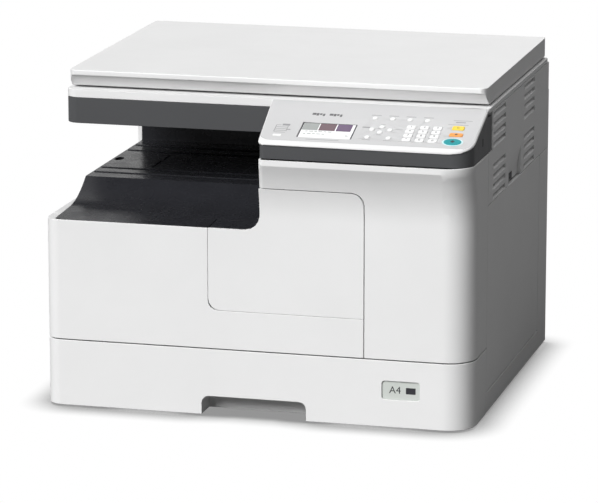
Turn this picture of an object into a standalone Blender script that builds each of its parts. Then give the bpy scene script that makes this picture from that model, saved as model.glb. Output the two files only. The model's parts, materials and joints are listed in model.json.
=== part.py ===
"""Desktop copier with an in-body output tray, a front paper drawer, a flatbed scanner under a platen lid and a
sloped control panel.

Every shape is drawn in shop coordinates: left (from the lid's left edge), depth (from the flat front face) and height
(above the body's bottom edge). SHIFT moves them to the object's frame, whose origin is on the floor below the middle.
"""

import math

import bmesh
import bpy
from mathutils import Matrix, Vector

for leftover in list(bpy.data.objects):
    bpy.data.objects.remove(leftover)

# Driving dimensions, in metres
LEFT_SIDE = -0.004
RIGHT_SIDE = 0.575
BODY_DEPTH = 0.509
NOSE_REACH = 0.014
FOOT_HEIGHT = 0.003
SEAM = 0.0010
GAP = 0.0003
WALL = 0.003
ARC_STEPS = 4
BODY_ARC_STEPS = 8

# Paper drawer
DRAWER_TOP = 0.0889
LEFT_CORNER = 0.021
RIGHT_CORNER = 0.038
LEFT_RETURN = 0.038
RIGHT_RETURN = 0.095
PULL = (0.2118, 0.354, 0.0252)
PULL_CORNER = 0.010
PULL_DEPTH = 0.038
CARD_WINDOW = (0.456, 0.507, 0.037, 0.062)
BIN_LOW = (0.014, 0.0443, 0.0033)
BIN_HIGH = (0.548, 0.466, 0.086)
BIN_WALL = 0.0025
BIN_FLOOR = BIN_LOW[2] + BIN_WALL + GAP
PAPER_MIDDLE = 0.263
PAPER_HALF_WIDTH = 0.1485

# Front mouldings
BODY_LOW = 0.0905
FRONT_WALL = 0.0035
RIM_WIDTH = 0.0133
COVER_LEFT = 0.221
COVER_RIGHT = 0.4318
COVER_LOW = 0.1421
COVER_TOP = 0.310
COVER_CORNER = 0.013
COVER_HINGE = (0.0010, 0.1445)
BAY_RIGHT = 0.2918
BAY_FILLET = 0.021
SHELF_DEPTH = 0.045
SHELF_STEPS = (0.001, 0.012, 0.023, 0.034, SHELF_DEPTH)
SWEEP_LOW = 0.270
LIP_LOW = 0.3433
LIP_TOP = 0.3508
LIP_REACH = 0.020
CHEEK_LOW = 0.285
CHEEK_PROUD = 0.004
SWEEP_STEPS = 12

# Output tray
TRAY_FRONT = 0.2522
TRAY_CORNER = 0.0107
RAMP_END = (0.070, 0.2555)
CREST = (0.140, 0.283)
BAY_BACK = 0.400
COLUMN_FRONT = 0.425
SCANNER_LOW = 0.364
EXIT_SILL = 0.336
TRAY_LEFT = LEFT_SIDE + RIM_WIDTH + GAP
TRAY_SKIRT = 0.002
TRAY_RIBS = (0.170, 0.201, 0.324, 0.361)
TRAY_HOLE = (0.0185, 0.264)
TRAY_HOLE_SIZE = (0.012, 0.022)
TRAY_SLIT = (0.0790, 0.0818, 0.219, 0.305)

# Right side
RAIL_LEFT = 0.5515
RAIL_TOP = 0.0280
DOOR_LOW = 0.0293
DOOR_TOP = 0.2809
DOOR_BACK = 0.445
DOOR_HINGE = (0.5725, 0.032)
SIDE_SKIN = 0.0067
SIDE_TOP = 0.4029
BAND_END = 0.117
LOUVRE_COLUMNS = ((0.126, 0.2055), (0.3315, 0.4035))
LOUVRE_ROWS = (0.2880, 0.3572)
LOUVRE_PITCH = 0.0134
LOUVRE_COUNT = 4
LOUVRE_SLOT = 0.0040
LOUVRE_RISE = 0.0015
LOUVRE_LIP = 0.0030
SCOOP = (0.228, 0.310)
SCOOP_TOP = 0.321
SCOOP_SHELF = 0.295
SCOOP_DEPTH = 0.005
SIDE_HOLE = (0.199, 0.3624)
SIDE_HOLE_RADIUS = 0.0018
BAND_SLOT = (0.0610, 0.3660, 0.0645, 0.3765)

# Scanner and lid
BEZEL_FRONT = 0.096
BEZEL_TOP = 0.3986
BEZEL_CORNER = 0.017
SCANNER_TOP = 0.4095
SCANNER_BACK = 0.500
GLASS_LOW = (0.070, 0.130)
GLASS_HIGH = (0.505, 0.445)
GLASS_THICK = 0.0038
LID_LOW = 0.4118
LID_TOP = 0.438
LID_LEFT = 0.001
LID_RIGHT = 0.571
LID_BACK = 0.505
LID_NOSE = 0.098
LID_NOSE_TOP = 0.4358
LID_FOOT = 0.1085
LID_UNDERCUT = (0.005, 0.0016)
LID_RIM = 0.0074
LID_GRIP = 0.1003
LID_CORNER = 0.012
LID_HINGE = (0.500, 0.424)
HINGE_LEFTS = (0.080, 0.445)
HINGE_WIDTH = 0.050

# Control panel: a plane that rises from the front edge towards the lid
PANEL_LEFT = 0.2925
PANEL_RIGHT = 0.5745
PANEL_BACK = 0.0957
PANEL_START = (-0.009, 0.375)
PANEL_SLOPE = math.atan(0.335)
PANEL_THICK = 0.0040
KEY_RISE = 0.0010
KEY_DEEP = 0.0024
LCD_MIDDLE = (0.3765, 0.0331)
LCD_SIZE = (0.0725, 0.0394)

# Supports inside the body, feet and rear fittings
FOOT_LEFTS = (0.040, 0.519)
FOOT_DEPTHS = (0.125, 0.475)
FOOT_RADIUS = 0.012
RUNNER_REACH = 0.0132
RUNNER_FRONT = 0.060
RUNNER_BACK = 0.460
RUNNER_HEIGHTS = (0.040, 0.046)
LEDGE_LOW = 0.086
LEDGE_BACK = 0.495
REAR_LEDGE = (0.030, 0.476, 0.540)
VENT_LEFT = 0.110
VENT_RIGHT = 0.230
VENT_LOW = 0.190
VENT_HEIGHT = 0.005
VENT_PITCH = 0.014
VENT_COUNT = 8
INLET = (0.478, 0.028, 0.534, 0.066)
INLET_FRONT = 0.490
SOCKET = (0.489, 0.035, 0.523, 0.059)
SOCKET_FRONT = 0.494

# Engine rollers: left and height of each axis
DRUM_AXIS = (0.500, 0.170)
TRANSFER_AXIS = (0.5239, 0.170)
FUSER_AXIS = (0.520, 0.245)
FEED_AXIS = (0.500, 0.0978)
CARTRIDGE_AXIS = (0.330, 0.195)
PLATE_FRONT = 0.060
PLATE_BACK = 0.469
DECK_LOW = 0.092
DECK_LEFT = 0.0075
PLATE_LEFT = 0.014
PLATE_RIGHT = 0.545
PLATE_TOPS = (0.246, 0.278)
FEED_EARS = (0.227, 0.2895)
FEED_WINDOW = (0.487, 0.231, 0.513, 0.2885)
SHAFT_HOLE = 0.0044
SMALL_SHAFT_HOLE = 0.0034
CARTRIDGE_HOLE = 0.0385
CARTRIDGE_PIN_HOLE = 0.0125
ARM_DEPTHS = (0.112, 0.424)
ARM_WIDTH = 0.004

MIDDLE = (LEFT_SIDE + RIGHT_SIDE) / 2
SHIFT = Vector((-MIDDLE, (LIP_REACH - BODY_DEPTH) / 2, FOOT_HEIGHT))

# Finish: colour, roughness, metallic
FINISHES = {
    "white": ((0.80, 0.80, 0.80), 0.42, 0.0),
    "pale_grey": ((0.62, 0.62, 0.62), 0.45, 0.0),
    "dark_grey": ((0.09, 0.09, 0.095), 0.45, 0.0),
    "black": ((0.020, 0.021, 0.025), 0.30, 0.0),
    "steel": ((0.58, 0.59, 0.60), 0.35, 1.0),
    "rubber": ((0.03, 0.03, 0.03), 0.80, 0.0),
    "drum_green": ((0.05, 0.22, 0.16), 0.20, 0.0),
    "glass": ((0.55, 0.62, 0.60), 0.03, 0.0),
    "screen": ((0.72, 0.73, 0.76), 0.25, 0.0),
    "yellow": ((0.95, 0.75, 0.10), 0.40, 0.0),
    "orange": ((0.90, 0.42, 0.10), 0.40, 0.0),
    "teal": ((0.02, 0.36, 0.37), 0.35, 0.0),
}


def rounded(corners, steps=ARC_STEPS):
    """A closed outline through (x, y, radius) corners, with each radius drawn as an arc."""
    points = []
    for index, (x, y, radius) in enumerate(corners):
        here = Vector((x, y))
        if not radius:
            points.append(here)
            continue
        before = (Vector(corners[index - 1][:2]) - here).normalized()
        after = (Vector(corners[(index + 1) % len(corners)][:2]) - here).normalized()
        half = before.angle(after) / 2
        centre = here + (before + after).normalized() * radius / math.sin(half)
        start = here + before * radius / math.tan(half) - centre
        end = here + after * radius / math.tan(half) - centre
        for step in range(steps + 1):
            points.append(centre + start.slerp(end, step / steps).normalized() * radius)
    return points


def rectangle(left, low, right, high, radius=0.0):
    """A rectangle's outline, with its corners rounded if a radius is given."""
    return rounded([(left, low, radius), (right, low, radius), (right, high, radius), (left, high, radius)])


def circle(x, y, radius, sides=24):
    """A regular outline round a point."""
    turns = [2 * math.pi * side / sides for side in range(sides)]
    return [Vector((x + radius * math.cos(turn), y + radius * math.sin(turn))) for turn in turns]


def lifted(point, axis, along):
    """The shop point of an outline's point, on the plane at this distance along the axis."""
    first, second = point
    return {"X": (along, first, second), "Y": (first, along, second), "Z": (first, second, along)}[axis]


def prism(outline, axis, low, high):
    """An outline in the plane across an axis, extruded from low to high."""
    return loft([[lifted(point, axis, along) for point in outline] for along in (low, high)])


def box(low, high):
    """A block between two corners."""
    return prism(rectangle(low[0], low[1], high[0], high[1]), "Z", low[2], high[2])


def loft(rings):
    """A solid through rings that all have the same number of points, capped at both ends."""
    mesh = bmesh.new()
    loops = [[mesh.verts.new(point) for point in ring] for ring in rings]
    for first, second in zip(loops, loops[1:]):
        for index in range(len(first)):
            after = (index + 1) % len(first)
            mesh.faces.new((first[index], first[after], second[after], second[index]))
    mesh.faces.new(loops[0])
    mesh.faces.new(loops[-1])
    bmesh.ops.recalc_face_normals(mesh, faces=mesh.faces)
    return mesh


def turned(profile, axis, sides=24):
    """A round piece along the depth: (depth, radius) steps spun about an axis at (left, height)."""
    mesh = bmesh.new()
    points = [(profile[0][0], 0.0), *profile, (profile[-1][0], 0.0)]
    verts = [mesh.verts.new((axis[0] + radius, depth, axis[1])) for depth, radius in points]
    edges = [mesh.edges.new(pair) for pair in zip(verts, verts[1:])]
    centre = (axis[0], 0.0, axis[1])
    bmesh.ops.spin(mesh, geom=verts + edges, cent=centre, axis=(0, 1, 0), angle=2 * math.pi, steps=sides, use_merge=True)
    bmesh.ops.remove_doubles(mesh, verts=mesh.verts, dist=1e-6)
    bmesh.ops.recalc_face_normals(mesh, faces=mesh.faces)
    return mesh


def soften(mesh, wanted, width, segments=2):
    """Bevels the edges that a test on their two ends picks out."""
    edges = [edge for edge in mesh.edges if wanted(edge.verts[0].co, edge.verts[1].co)]
    bmesh.ops.bevel(
        mesh, geom=edges, offset=width, segments=segments, affect="EDGES", profile=0.5, clamp_overlap=True, material=-1
    )
    return mesh


def stand(mesh, name="tool"):
    """An object that holds the mesh."""
    data = bpy.data.meshes.new(name)
    mesh.to_mesh(data)
    mesh.free()
    item = bpy.data.objects.new(name, data)
    bpy.context.scene.collection.objects.link(item)
    return item


def combine(item, mesh, operation):
    """Applies one Boolean to an object, and drops the tool."""
    tool = stand(mesh)
    modifier = item.modifiers.new(operation.lower(), "BOOLEAN")
    modifier.operation = operation
    modifier.solver = "EXACT"
    modifier.object = tool
    graph = bpy.context.evaluated_depsgraph_get()
    result = bpy.data.meshes.new_from_object(item.evaluated_get(graph))
    item.modifiers.clear()
    item.data = result
    bpy.data.objects.remove(tool)


def cut(item, *meshes):
    for mesh in meshes:
        combine(item, mesh, "DIFFERENCE")


def fuse(item, *meshes):
    for mesh in meshes:
        combine(item, mesh, "UNION")


def keep(item, *meshes):
    for mesh in meshes:
        combine(item, mesh, "INTERSECT")


def gathered(meshes):
    """Several loose shapes as one mesh, to cut a pattern in one go."""
    whole = bmesh.new()
    for mesh in meshes:
        data = bpy.data.meshes.new("pattern")
        mesh.to_mesh(data)
        mesh.free()
        whole.from_mesh(data)
        bpy.data.meshes.remove(data)
    return whole


def pivot(name, left, depth, height, parent=None):
    """An empty on a joint's axis, which carries what moves there."""
    empty = bpy.data.objects.new(name, None)
    bpy.context.scene.collection.objects.link(empty)
    place = Vector((left, depth, height)) + SHIFT
    empty.matrix_world = Matrix.Translation(place)
    empty["place"] = place
    if parent:
        empty.parent = parent
        empty.matrix_world = Matrix.Translation(place)
        empty.location = place - Vector(parent["place"])
    return empty


def finish(item, name, finish_name, carrier):
    """Names the object, gives it its own material and hangs it on its carrier."""
    item.name = name
    item.data.name = name
    item.data.transform(Matrix.Translation(SHIFT - Vector(carrier["place"])))
    item.parent = carrier
    colour, roughness, metallic = FINISHES[finish_name]
    material = bpy.data.materials.new(name + "_finish")
    material.use_nodes = True
    shader = material.node_tree.nodes["Principled BSDF"]
    shader.inputs["Base Color"].default_value = (*colour, 1.0)
    shader.inputs["Roughness"].default_value = roughness
    shader.inputs["Metallic"].default_value = metallic
    item.data.materials.clear()
    item.data.materials.append(material)
    item.data.shade_smooth()
    item.data.set_sharp_from_angle(angle=math.radians(32))


def sweep(height):
    """How far the front moulding reaches forward at this height: a hollow curve up to the lip."""
    part_way = (height - SWEEP_LOW) / (LIP_LOW - SWEEP_LOW)
    return LIP_REACH * min(max(part_way, 0.0), 1.0) ** 2


def cheek(height):
    """The front moulding's right corner: an arc that stands a little proud of the sweep, so that a rim shows."""
    part_way = (height - CHEEK_LOW) / (LIP_LOW - CHEEK_LOW)
    proud = CHEEK_PROUD * math.sin(math.pi * min(max(part_way, 0.0), 1.0))
    inner = RIGHT_CORNER - proud
    first = math.acos(inner / RIGHT_CORNER)
    corner = []
    for step in range(BODY_ARC_STEPS + 1):
        angle = first + (math.pi / 2 - first) * step / BODY_ARC_STEPS
        across = RIGHT_SIDE - RIGHT_CORNER * (1 - math.sin(angle))
        corner.append((across, inner - sweep(height) - RIGHT_CORNER * math.cos(angle), 0))
    return corner


def sweep_heights(low, high):
    """Heights to loft the front moulding through."""
    climb = LIP_LOW - SWEEP_LOW
    steps = [SWEEP_LOW + climb * step / SWEEP_STEPS for step in range(SWEEP_STEPS + 1)]
    return [low, *(height for height in steps if low < height < high - GAP), high]


def tray_height(depth):
    """The tray's floor: a ramp from the front edge, a hollow arc up to the crest, then level."""
    slope = (RAMP_END[1] - TRAY_FRONT) / RAMP_END[0]
    if depth <= RAMP_END[0]:
        return TRAY_FRONT + slope * depth
    if depth >= CREST[0]:
        return CREST[1]
    run = depth - RAMP_END[0]
    span = CREST[0] - RAMP_END[0]
    rise = CREST[1] - RAMP_END[1] - slope * span
    return RAMP_END[1] + slope * run + rise * (run / span) ** 2


def tray_depths(start, end):
    """Depths at which the tray's floor bends."""
    steps = 6
    span = CREST[0] - RAMP_END[0]
    bends = [RAMP_END[0] + span * step / steps for step in range(steps + 1)]
    return [start, *(depth for depth in bends if start < depth < end), end]


def cover_swing(depth, clear):
    """The height at a depth of the arc that the toner cover's top edge sweeps about its hinge."""
    radius = COVER_TOP - COVER_HINGE[1] + clear
    return COVER_HINGE[1] + math.sqrt(radius**2 - (depth - COVER_HINGE[0]) ** 2)


def tray_ring(depth, left, top, skirt=0.0):
    """The tray's section, WALL thick: floor, fillet, right wall and, with a skirt, a left wall below the floor."""
    floor = tray_height(depth)
    foot = TRAY_FRONT - WALL - skirt
    left_wall = [(left + WALL, floor - WALL, 0), (left + WALL, foot, 0), (left, foot, 0)]
    outline = [
        (left, floor, 0),
        (BAY_RIGHT, floor, BAY_FILLET),
        (BAY_RIGHT, top, 0),
        (BAY_RIGHT + WALL, top, 0),
        (BAY_RIGHT + WALL, floor - WALL, BAY_FILLET + WALL),
        *(left_wall if skirt else [(left, floor - WALL, 0)]),
    ]
    return [lifted(point, "Y", depth) for point in rounded(outline)]


def panel_height(depth):
    return PANEL_START[1] + math.tan(PANEL_SLOPE) * (depth - PANEL_START[0])


def panel_place(left, along):
    """The shop point on the panel's face, at a distance up its slope."""
    depth = PANEL_START[0] + along * math.cos(PANEL_SLOPE)
    return Vector((left, depth, panel_height(depth)))


def on_panel(mesh, left, along):
    """Turns a shape drawn flat about the origin into the panel's plane."""
    turn = Matrix.Translation(panel_place(left, along)) @ Matrix.Rotation(PANEL_SLOPE, 4, "X")
    bmesh.ops.transform(mesh, matrix=turn, verts=mesh.verts)
    return mesh


def build_base_pan(machine):
    front, back = RIGHT_RETURN + SEAM, BODY_DEPTH - WALL - GAP
    item = stand(box((LEFT_SIDE + WALL + GAP, front, 0.0005), (RAIL_LEFT - GAP, back, WALL)))
    for left in FOOT_LEFTS:
        for depth in FOOT_DEPTHS:
            fuse(item, prism(circle(left, depth, FOOT_RADIUS, 16), "Z", -FOOT_HEIGHT, WALL / 2))
    finish(item, "base_pan", "steel", machine)


def build_base_rail(machine):
    """The strip below the side door, which the drawer runs beside."""
    item = stand(box((RAIL_LEFT, RIGHT_RETURN + SEAM, GAP), (RIGHT_SIDE, DOOR_BACK, RAIL_TOP)))
    finish(item, "base_rail", "white", machine)


def build_left_cover(machine):
    """The left side: a skin with a rim level with the front, a column at the back, a drawer runner and a deck ledge."""
    front, back = LEFT_RETURN + SEAM, BODY_DEPTH - WALL - SEAM
    inner = LEFT_SIDE + WALL
    top = SCANNER_LOW - GAP
    outline = [(front, GAP), (back, GAP), (back, top), (COLUMN_FRONT, top), (COLUMN_FRONT, TRAY_FRONT)]
    outline.append((front, TRAY_FRONT))
    item = stand(prism(outline, "X", LEFT_SIDE, inner))
    overlap = WALL / 2
    rim = box((LEFT_SIDE, front, TRAY_FRONT - WALL), (LEFT_SIDE + RIM_WIDTH, COLUMN_FRONT + overlap, TRAY_FRONT))
    column = box((inner - overlap, COLUMN_FRONT, TRAY_FRONT - WALL), (LEFT_SIDE + RIM_WIDTH, back, top))
    low, high = RUNNER_HEIGHTS
    runner = box((inner - overlap, RUNNER_FRONT, low), (RUNNER_REACH, RUNNER_BACK, high))
    ledge = box((inner - overlap, RUNNER_FRONT, LEDGE_LOW), (RUNNER_REACH, LEDGE_BACK, DECK_LOW - GAP))
    fuse(item, rim, column, runner, ledge)
    finish(item, "left_cover", "white", machine)


def build_rear_cover(machine):
    front = BODY_DEPTH - WALL
    corner = 0.002
    back = [(LEFT_SIDE, front, 0), (LEFT_SIDE, BODY_DEPTH, corner), (RIGHT_SIDE, BODY_DEPTH, corner), (RIGHT_SIDE, front, 0)]
    item = stand(prism(rounded(back), "Z", GAP, SCANNER_LOW - GAP))
    overlap = front + WALL / 3
    flange = box((RIGHT_SIDE - WALL, DOOR_BACK + SEAM, GAP), (RIGHT_SIDE, overlap, DOOR_TOP))
    ledge = box((*REAR_LEDGE[:2], LEDGE_LOW), (REAR_LEDGE[2], overlap, DECK_LOW - GAP))
    fuse(item, flange, ledge)
    through = (front - WALL, BODY_DEPTH + WALL)
    vents = []
    for row in range(VENT_COUNT):
        low = VENT_LOW + VENT_PITCH * row
        vents.append(prism(rectangle(VENT_LEFT, low, VENT_RIGHT, low + VENT_HEIGHT, 0.0024), "Y", *through))
    cut(item, gathered(vents), prism(rectangle(*INLET), "Y", *through))
    finish(item, "rear_cover", "white", machine)


def build_power_inlet(machine):
    """The socket for a mains lead, set in the rear cover."""
    left, low, right, top = INLET
    item = stand(box((left + GAP, INLET_FRONT, low + GAP), (right - GAP, BODY_DEPTH, top - GAP)))
    left, low, right, top = SOCKET
    small, large = 0.002, 0.007
    socket = rounded([(left, low, small), (right, low, small), (right, top, large), (left, top, large)])
    cut(item, prism(socket, "Y", SOCKET_FRONT, BODY_DEPTH + WALL))
    finish(item, "power_inlet", "black", machine)


def build_right_cover(machine):
    """The upper side, with the finger scoop above the door, and louvres whose lower lips slope out."""
    front = RIGHT_RETURN + SEAM
    back = BODY_DEPTH - WALL - SEAM
    low = DOOR_TOP + SEAM
    step = LIP_TOP + GAP
    outline = [(front, low), (back, low), (back, SIDE_TOP), (BAND_END + SEAM, SIDE_TOP), (BAND_END + SEAM, step)]
    outline.append((front, step))
    inner = RIGHT_SIDE - SIDE_SKIN
    item = stand(prism(outline, "X", inner, RIGHT_SIDE))
    slots = []
    for start, end in LOUVRE_COLUMNS:
        for group in LOUVRE_ROWS:
            for row in range(LOUVRE_COUNT):
                middle = group + LOUVRE_PITCH * row
                low_edge = middle - LOUVRE_SLOT / 2
                high_edge = middle + LOUVRE_SLOT / 2
                outer, deep = RIGHT_SIDE + 0.001, inner - 0.001
                lip_low = low_edge - LOUVRE_LIP - (outer - RIGHT_SIDE)
                blade = [(outer, lip_low), (outer, high_edge), (deep, high_edge + LOUVRE_RISE)]
                blade += [(deep, low_edge + LOUVRE_RISE), (RIGHT_SIDE - LOUVRE_LIP, low_edge)]
                slots.append(prism(blade, "Y", start, end))
    outer, deep, under = RIGHT_SIDE + WALL, RIGHT_SIDE - SCOOP_DEPTH, low - WALL
    scoop = [(outer, under), (outer, SCOOP_TOP), (RIGHT_SIDE, SCOOP_TOP), (deep, SCOOP_SHELF), (deep, under)]
    hole = prism(circle(*SIDE_HOLE, SIDE_HOLE_RADIUS, 12), "X", RIGHT_SIDE - WALL, RIGHT_SIDE + WALL)
    cut(item, gathered(slots), prism(scoop, "Y", *SCOOP), hole)
    finish(item, "right_cover", "white", machine)


def build_front_left_cover(machine):
    """The left front, which runs below the hinged toner cover as far as the right moulding."""
    right = COVER_RIGHT - SEAM / 2
    outline = [
        (right, 0, 0),
        (LEFT_SIDE, 0, LEFT_CORNER),
        (LEFT_SIDE, LEFT_RETURN, 0),
        (LEFT_SIDE + RIM_WIDTH, LEFT_RETURN, 0),
        (LEFT_SIDE + RIM_WIDTH, FRONT_WALL, LEFT_CORNER - RIM_WIDTH),
        (right, FRONT_WALL, 0),
    ]
    item = stand(prism(rounded(outline, BODY_ARC_STEPS), "Z", BODY_LOW, TRAY_FRONT))
    cover = [(COVER_LEFT, COVER_LOW, COVER_CORNER), (0.450, COVER_LOW, 0), (0.450, 0.300, 0), (COVER_LEFT, 0.300, 0)]
    cut(item, prism(rounded(cover), "Y", -0.020, 0.020))
    finish(item, "front_left_cover", "white", machine)


def build_front_right_cover(machine):
    """The moulding at the right, which sweeps forward under the panel into an overhanging lip."""
    rings = []
    for height in sweep_heights(BODY_LOW, LIP_TOP):
        reach = sweep(height)
        outline = [
            (BAY_RIGHT, SHELF_DEPTH, 0),
            (BAY_RIGHT, -reach, 0.006),
            *cheek(height),
            (RIGHT_SIDE, RIGHT_RETURN, 0),
            (RIGHT_SIDE - WALL, RIGHT_RETURN, 0),
            (RIGHT_SIDE - WALL, WALL - reach, RIGHT_CORNER - WALL),
            (BAY_RIGHT + WALL, WALL - reach, 0.003),
            (BAY_RIGHT + WALL, SHELF_DEPTH, 0),
        ]
        rings.append([lifted(point, "Z", height) for point in rounded(outline, BODY_ARC_STEPS)])
    item = stand(loft(rings))
    opening = [
        (0.280, 0.080, 0),
        (COVER_RIGHT + SEAM / 2, 0.080, 0),
        (COVER_RIGHT + SEAM / 2, COVER_TOP + SEAM / 2, 0.016),
        (0.280, COVER_TOP + SEAM / 2, 0),
    ]
    cut(item, prism(rounded(opening), "Y", -0.030, 0.006))
    swing = [(depth, cover_swing(depth, SEAM / 2)) for depth in SHELF_STEPS]
    below = [(-0.030, BODY_LOW - 0.010), (0.060, BODY_LOW - 0.010), (0.060, swing[-1][1]), *reversed(swing)]
    below.append((-0.030, swing[0][1]))
    cut(item, prism(below, "X", BAY_RIGHT - 0.010, BAY_RIGHT + 2 * WALL))
    finish(item, "front_right_cover", "white", machine)


def build_toner_cover(carrier):
    """The hinged cover, which carries its own piece of the tray's lip along its top."""
    rings = []
    for height in sweep_heights(0.138, 0.318):
        reach = sweep(height)
        ring = rectangle(0.210, -reach, 0.440, FRONT_WALL - reach)
        rings.append([lifted(point, "Z", height) for point in ring])
    item = stand(loft(rings))
    left, right = COVER_LEFT + SEAM / 2, COVER_RIGHT - SEAM / 2
    low, top = COVER_LOW + SEAM / 2, COVER_TOP - SEAM / 2
    outline = [
        (left, low, COVER_CORNER + 0.0025),
        (right, low, 0.001),
        (right, top, 0.016),
        (BAY_RIGHT, top, 0),
        (BAY_RIGHT, TRAY_FRONT, BAY_FILLET),
        (left, TRAY_FRONT, 0),
    ]
    keep(item, prism(rounded(outline), "Y", -0.020, 0.020))
    fuse(item, loft([tray_ring(depth, left, cover_swing(depth, -SEAM / 2)) for depth in SHELF_STEPS]))
    finish(item, "toner_cover", "white", carrier)


def build_output_tray(machine):
    """The dark bay: lipped floor, fillet, right wall up to the paper exit, and back wall."""
    front = FRONT_WALL + GAP
    rings = [tray_ring(depth, TRAY_LEFT, EXIT_SILL, TRAY_SKIRT) for depth in tray_depths(front, BAY_BACK)]
    item = stand(loft(rings))
    right, rear = BAY_RIGHT + 2 * WALL, BAY_BACK + WALL
    plan = [(TRAY_LEFT, front, TRAY_CORNER), (right, front, 0), (right, rear, 0), (TRAY_LEFT, rear, 0)]
    keep(item, prism(rounded(plan, BODY_ARC_STEPS), "Z", BODY_LOW, SCANNER_TOP))
    back = box((TRAY_LEFT, BAY_BACK - GAP, CREST[1] - WALL), (BAY_RIGHT + WALL, rear, SCANNER_LOW - GAP))
    cheek = box((BAY_RIGHT, SHELF_DEPTH - 0.004, 0.320), (BAY_RIGHT + WALL, BEZEL_FRONT, LIP_TOP - GAP))
    fuse(item, back, cheek)
    ribs = []
    for depth in TRAY_RIBS:
        low, top = CREST[1] - 0.001, CREST[1] + 0.0012
        ridge = [(depth - 0.002, low), (depth + 0.002, low), (depth + 0.0008, top), (depth - 0.0008, top)]
        ribs.append(prism(ridge, "X", TRAY_LEFT + WALL, BAY_RIGHT - BAY_FILLET - WALL))
    fuse(item, gathered(ribs))
    notch = box((COVER_LEFT - SEAM / 2, 0.0, 0.230), (0.300, SHELF_DEPTH + SEAM, 0.360))
    half_wide, half_deep = (size / 2 for size in TRAY_HOLE_SIZE)
    ellipse = [(TRAY_HOLE[0] + half_wide * x, TRAY_HOLE[1] + half_deep * y) for x, y in circle(0, 0, 1.0, 16)]
    slit = rectangle(TRAY_SLIT[0], TRAY_SLIT[2], TRAY_SLIT[1], TRAY_SLIT[3])
    through = (CREST[1] - 2 * WALL, CREST[1] + WALL)
    cut(item, notch, prism(ellipse, "Z", *through), prism(slit, "Z", *through))
    finish(item, "output_tray", "black", machine)


def build_scanner_base(machine):
    """The flatbed's tub, with two rails for the carriage."""
    low = (LEFT_SIDE + WALL + GAP, BEZEL_FRONT + WALL + GAP, SCANNER_LOW)
    high = (RIGHT_SIDE - SIDE_SKIN - GAP, SCANNER_BACK, SIDE_TOP + GAP)
    corner = BEZEL_CORNER - WALL
    plan = [(low[0], low[1], corner), (high[0], low[1], 0), (high[0], high[1], 0), (low[0], high[1], 0)]
    item = stand(prism(rounded(plan), "Z", low[2], high[2]))
    wall = 0.004
    hollow = box((low[0] + wall, low[1] + wall, low[2] + WALL), (high[0] - wall, high[1] - wall, high[2] + 0.01))
    cut(item, hollow)
    for depth in (0.160, 0.420):
        fuse(item, box((low[0] + 0.002, depth, low[2] + 0.001), (high[0] - 0.002, depth + 0.006, 0.3737)))
    finish(item, "scanner_base", "white", machine)


def build_scanner_top(machine):
    """The white frame round the glass, with a skirt above the dark bezel."""
    low = SIDE_TOP + 2 * GAP
    plan = [
        (LEFT_SIDE, BEZEL_FRONT, BEZEL_CORNER),
        (RIGHT_SIDE, BEZEL_FRONT, 0.003),
        (RIGHT_SIDE, SCANNER_BACK, 0.006),
        (LEFT_SIDE, SCANNER_BACK, 0.006),
    ]
    plate = prism(rounded(plan), "Z", low, SCANNER_TOP)
    soften(plate, lambda a, b: min(a.z, b.z) > SCANNER_TOP - 1e-5 and min(a.y, b.y) < SCANNER_BACK - 0.010, 0.0045, 3)
    item = stand(plate)
    skirt = [
        (0.2830, BEZEL_FRONT, 0),
        (LEFT_SIDE, BEZEL_FRONT, BEZEL_CORNER),
        (LEFT_SIDE, SCANNER_BACK - 0.006, 0),
        (LEFT_SIDE + WALL, SCANNER_BACK - 0.006, 0),
        (LEFT_SIDE + WALL, BEZEL_FRONT + WALL, BEZEL_CORNER - WALL),
        (0.2830, BEZEL_FRONT + WALL, 0),
    ]
    fuse(item, prism(rounded(skirt), "Z", BEZEL_TOP + GAP, low + 0.001))
    seat = SCANNER_TOP - GLASS_THICK - GAP
    cut(item, box((*GLASS_LOW, seat), (*GLASS_HIGH, 0.420)))
    ledge = 0.005
    through_low = (GLASS_LOW[0] + ledge, GLASS_LOW[1] + ledge, 0.390)
    cut(item, box(through_low, (GLASS_HIGH[0] - ledge, GLASS_HIGH[1] - ledge, 0.420)))
    finish(item, "scanner_top", "white", machine)


def build_platen_glass(machine):
    low = (GLASS_LOW[0] + GAP, GLASS_LOW[1] + GAP, SCANNER_TOP - GLASS_THICK)
    high = (GLASS_HIGH[0] - GAP, GLASS_HIGH[1] - GAP, SCANNER_TOP)
    finish(stand(box(low, high)), "platen_glass", "glass", machine)


def build_scanner_bezel(machine):
    """The dark band below the scanner's left front, which runs back along the left side."""
    outline = [
        (PANEL_LEFT - 0.001, BEZEL_FRONT, 0),
        (LEFT_SIDE, BEZEL_FRONT, BEZEL_CORNER),
        (LEFT_SIDE, SCANNER_BACK, 0),
        (LEFT_SIDE + WALL, SCANNER_BACK, 0),
        (LEFT_SIDE + WALL, BEZEL_FRONT + WALL, BEZEL_CORNER - WALL),
        (PANEL_LEFT - 0.001, BEZEL_FRONT + WALL, 0),
    ]
    finish(stand(prism(rounded(outline), "Z", SCANNER_LOW, BEZEL_TOP)), "scanner_bezel", "dark_grey", machine)


def build_scan_carriage(carrier):
    """The lamp and sensor bar that travels under the glass."""
    item = stand(box((0.026, 0.125, 0.3740), (0.070, 0.455, 0.3990)))
    lamp_slot = rectangle(0.042, 0.135, 0.054, 0.445, 0.002)
    cut(item, prism(lamp_slot, "Z", 0.392, 0.405))
    chamfer = [(0.060, 0.402), (0.072, 0.402), (0.072, 0.388)]
    cut(item, prism(chamfer, "Y", 0.120, 0.460))
    finish(item, "scan_carriage", "black", carrier)


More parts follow.
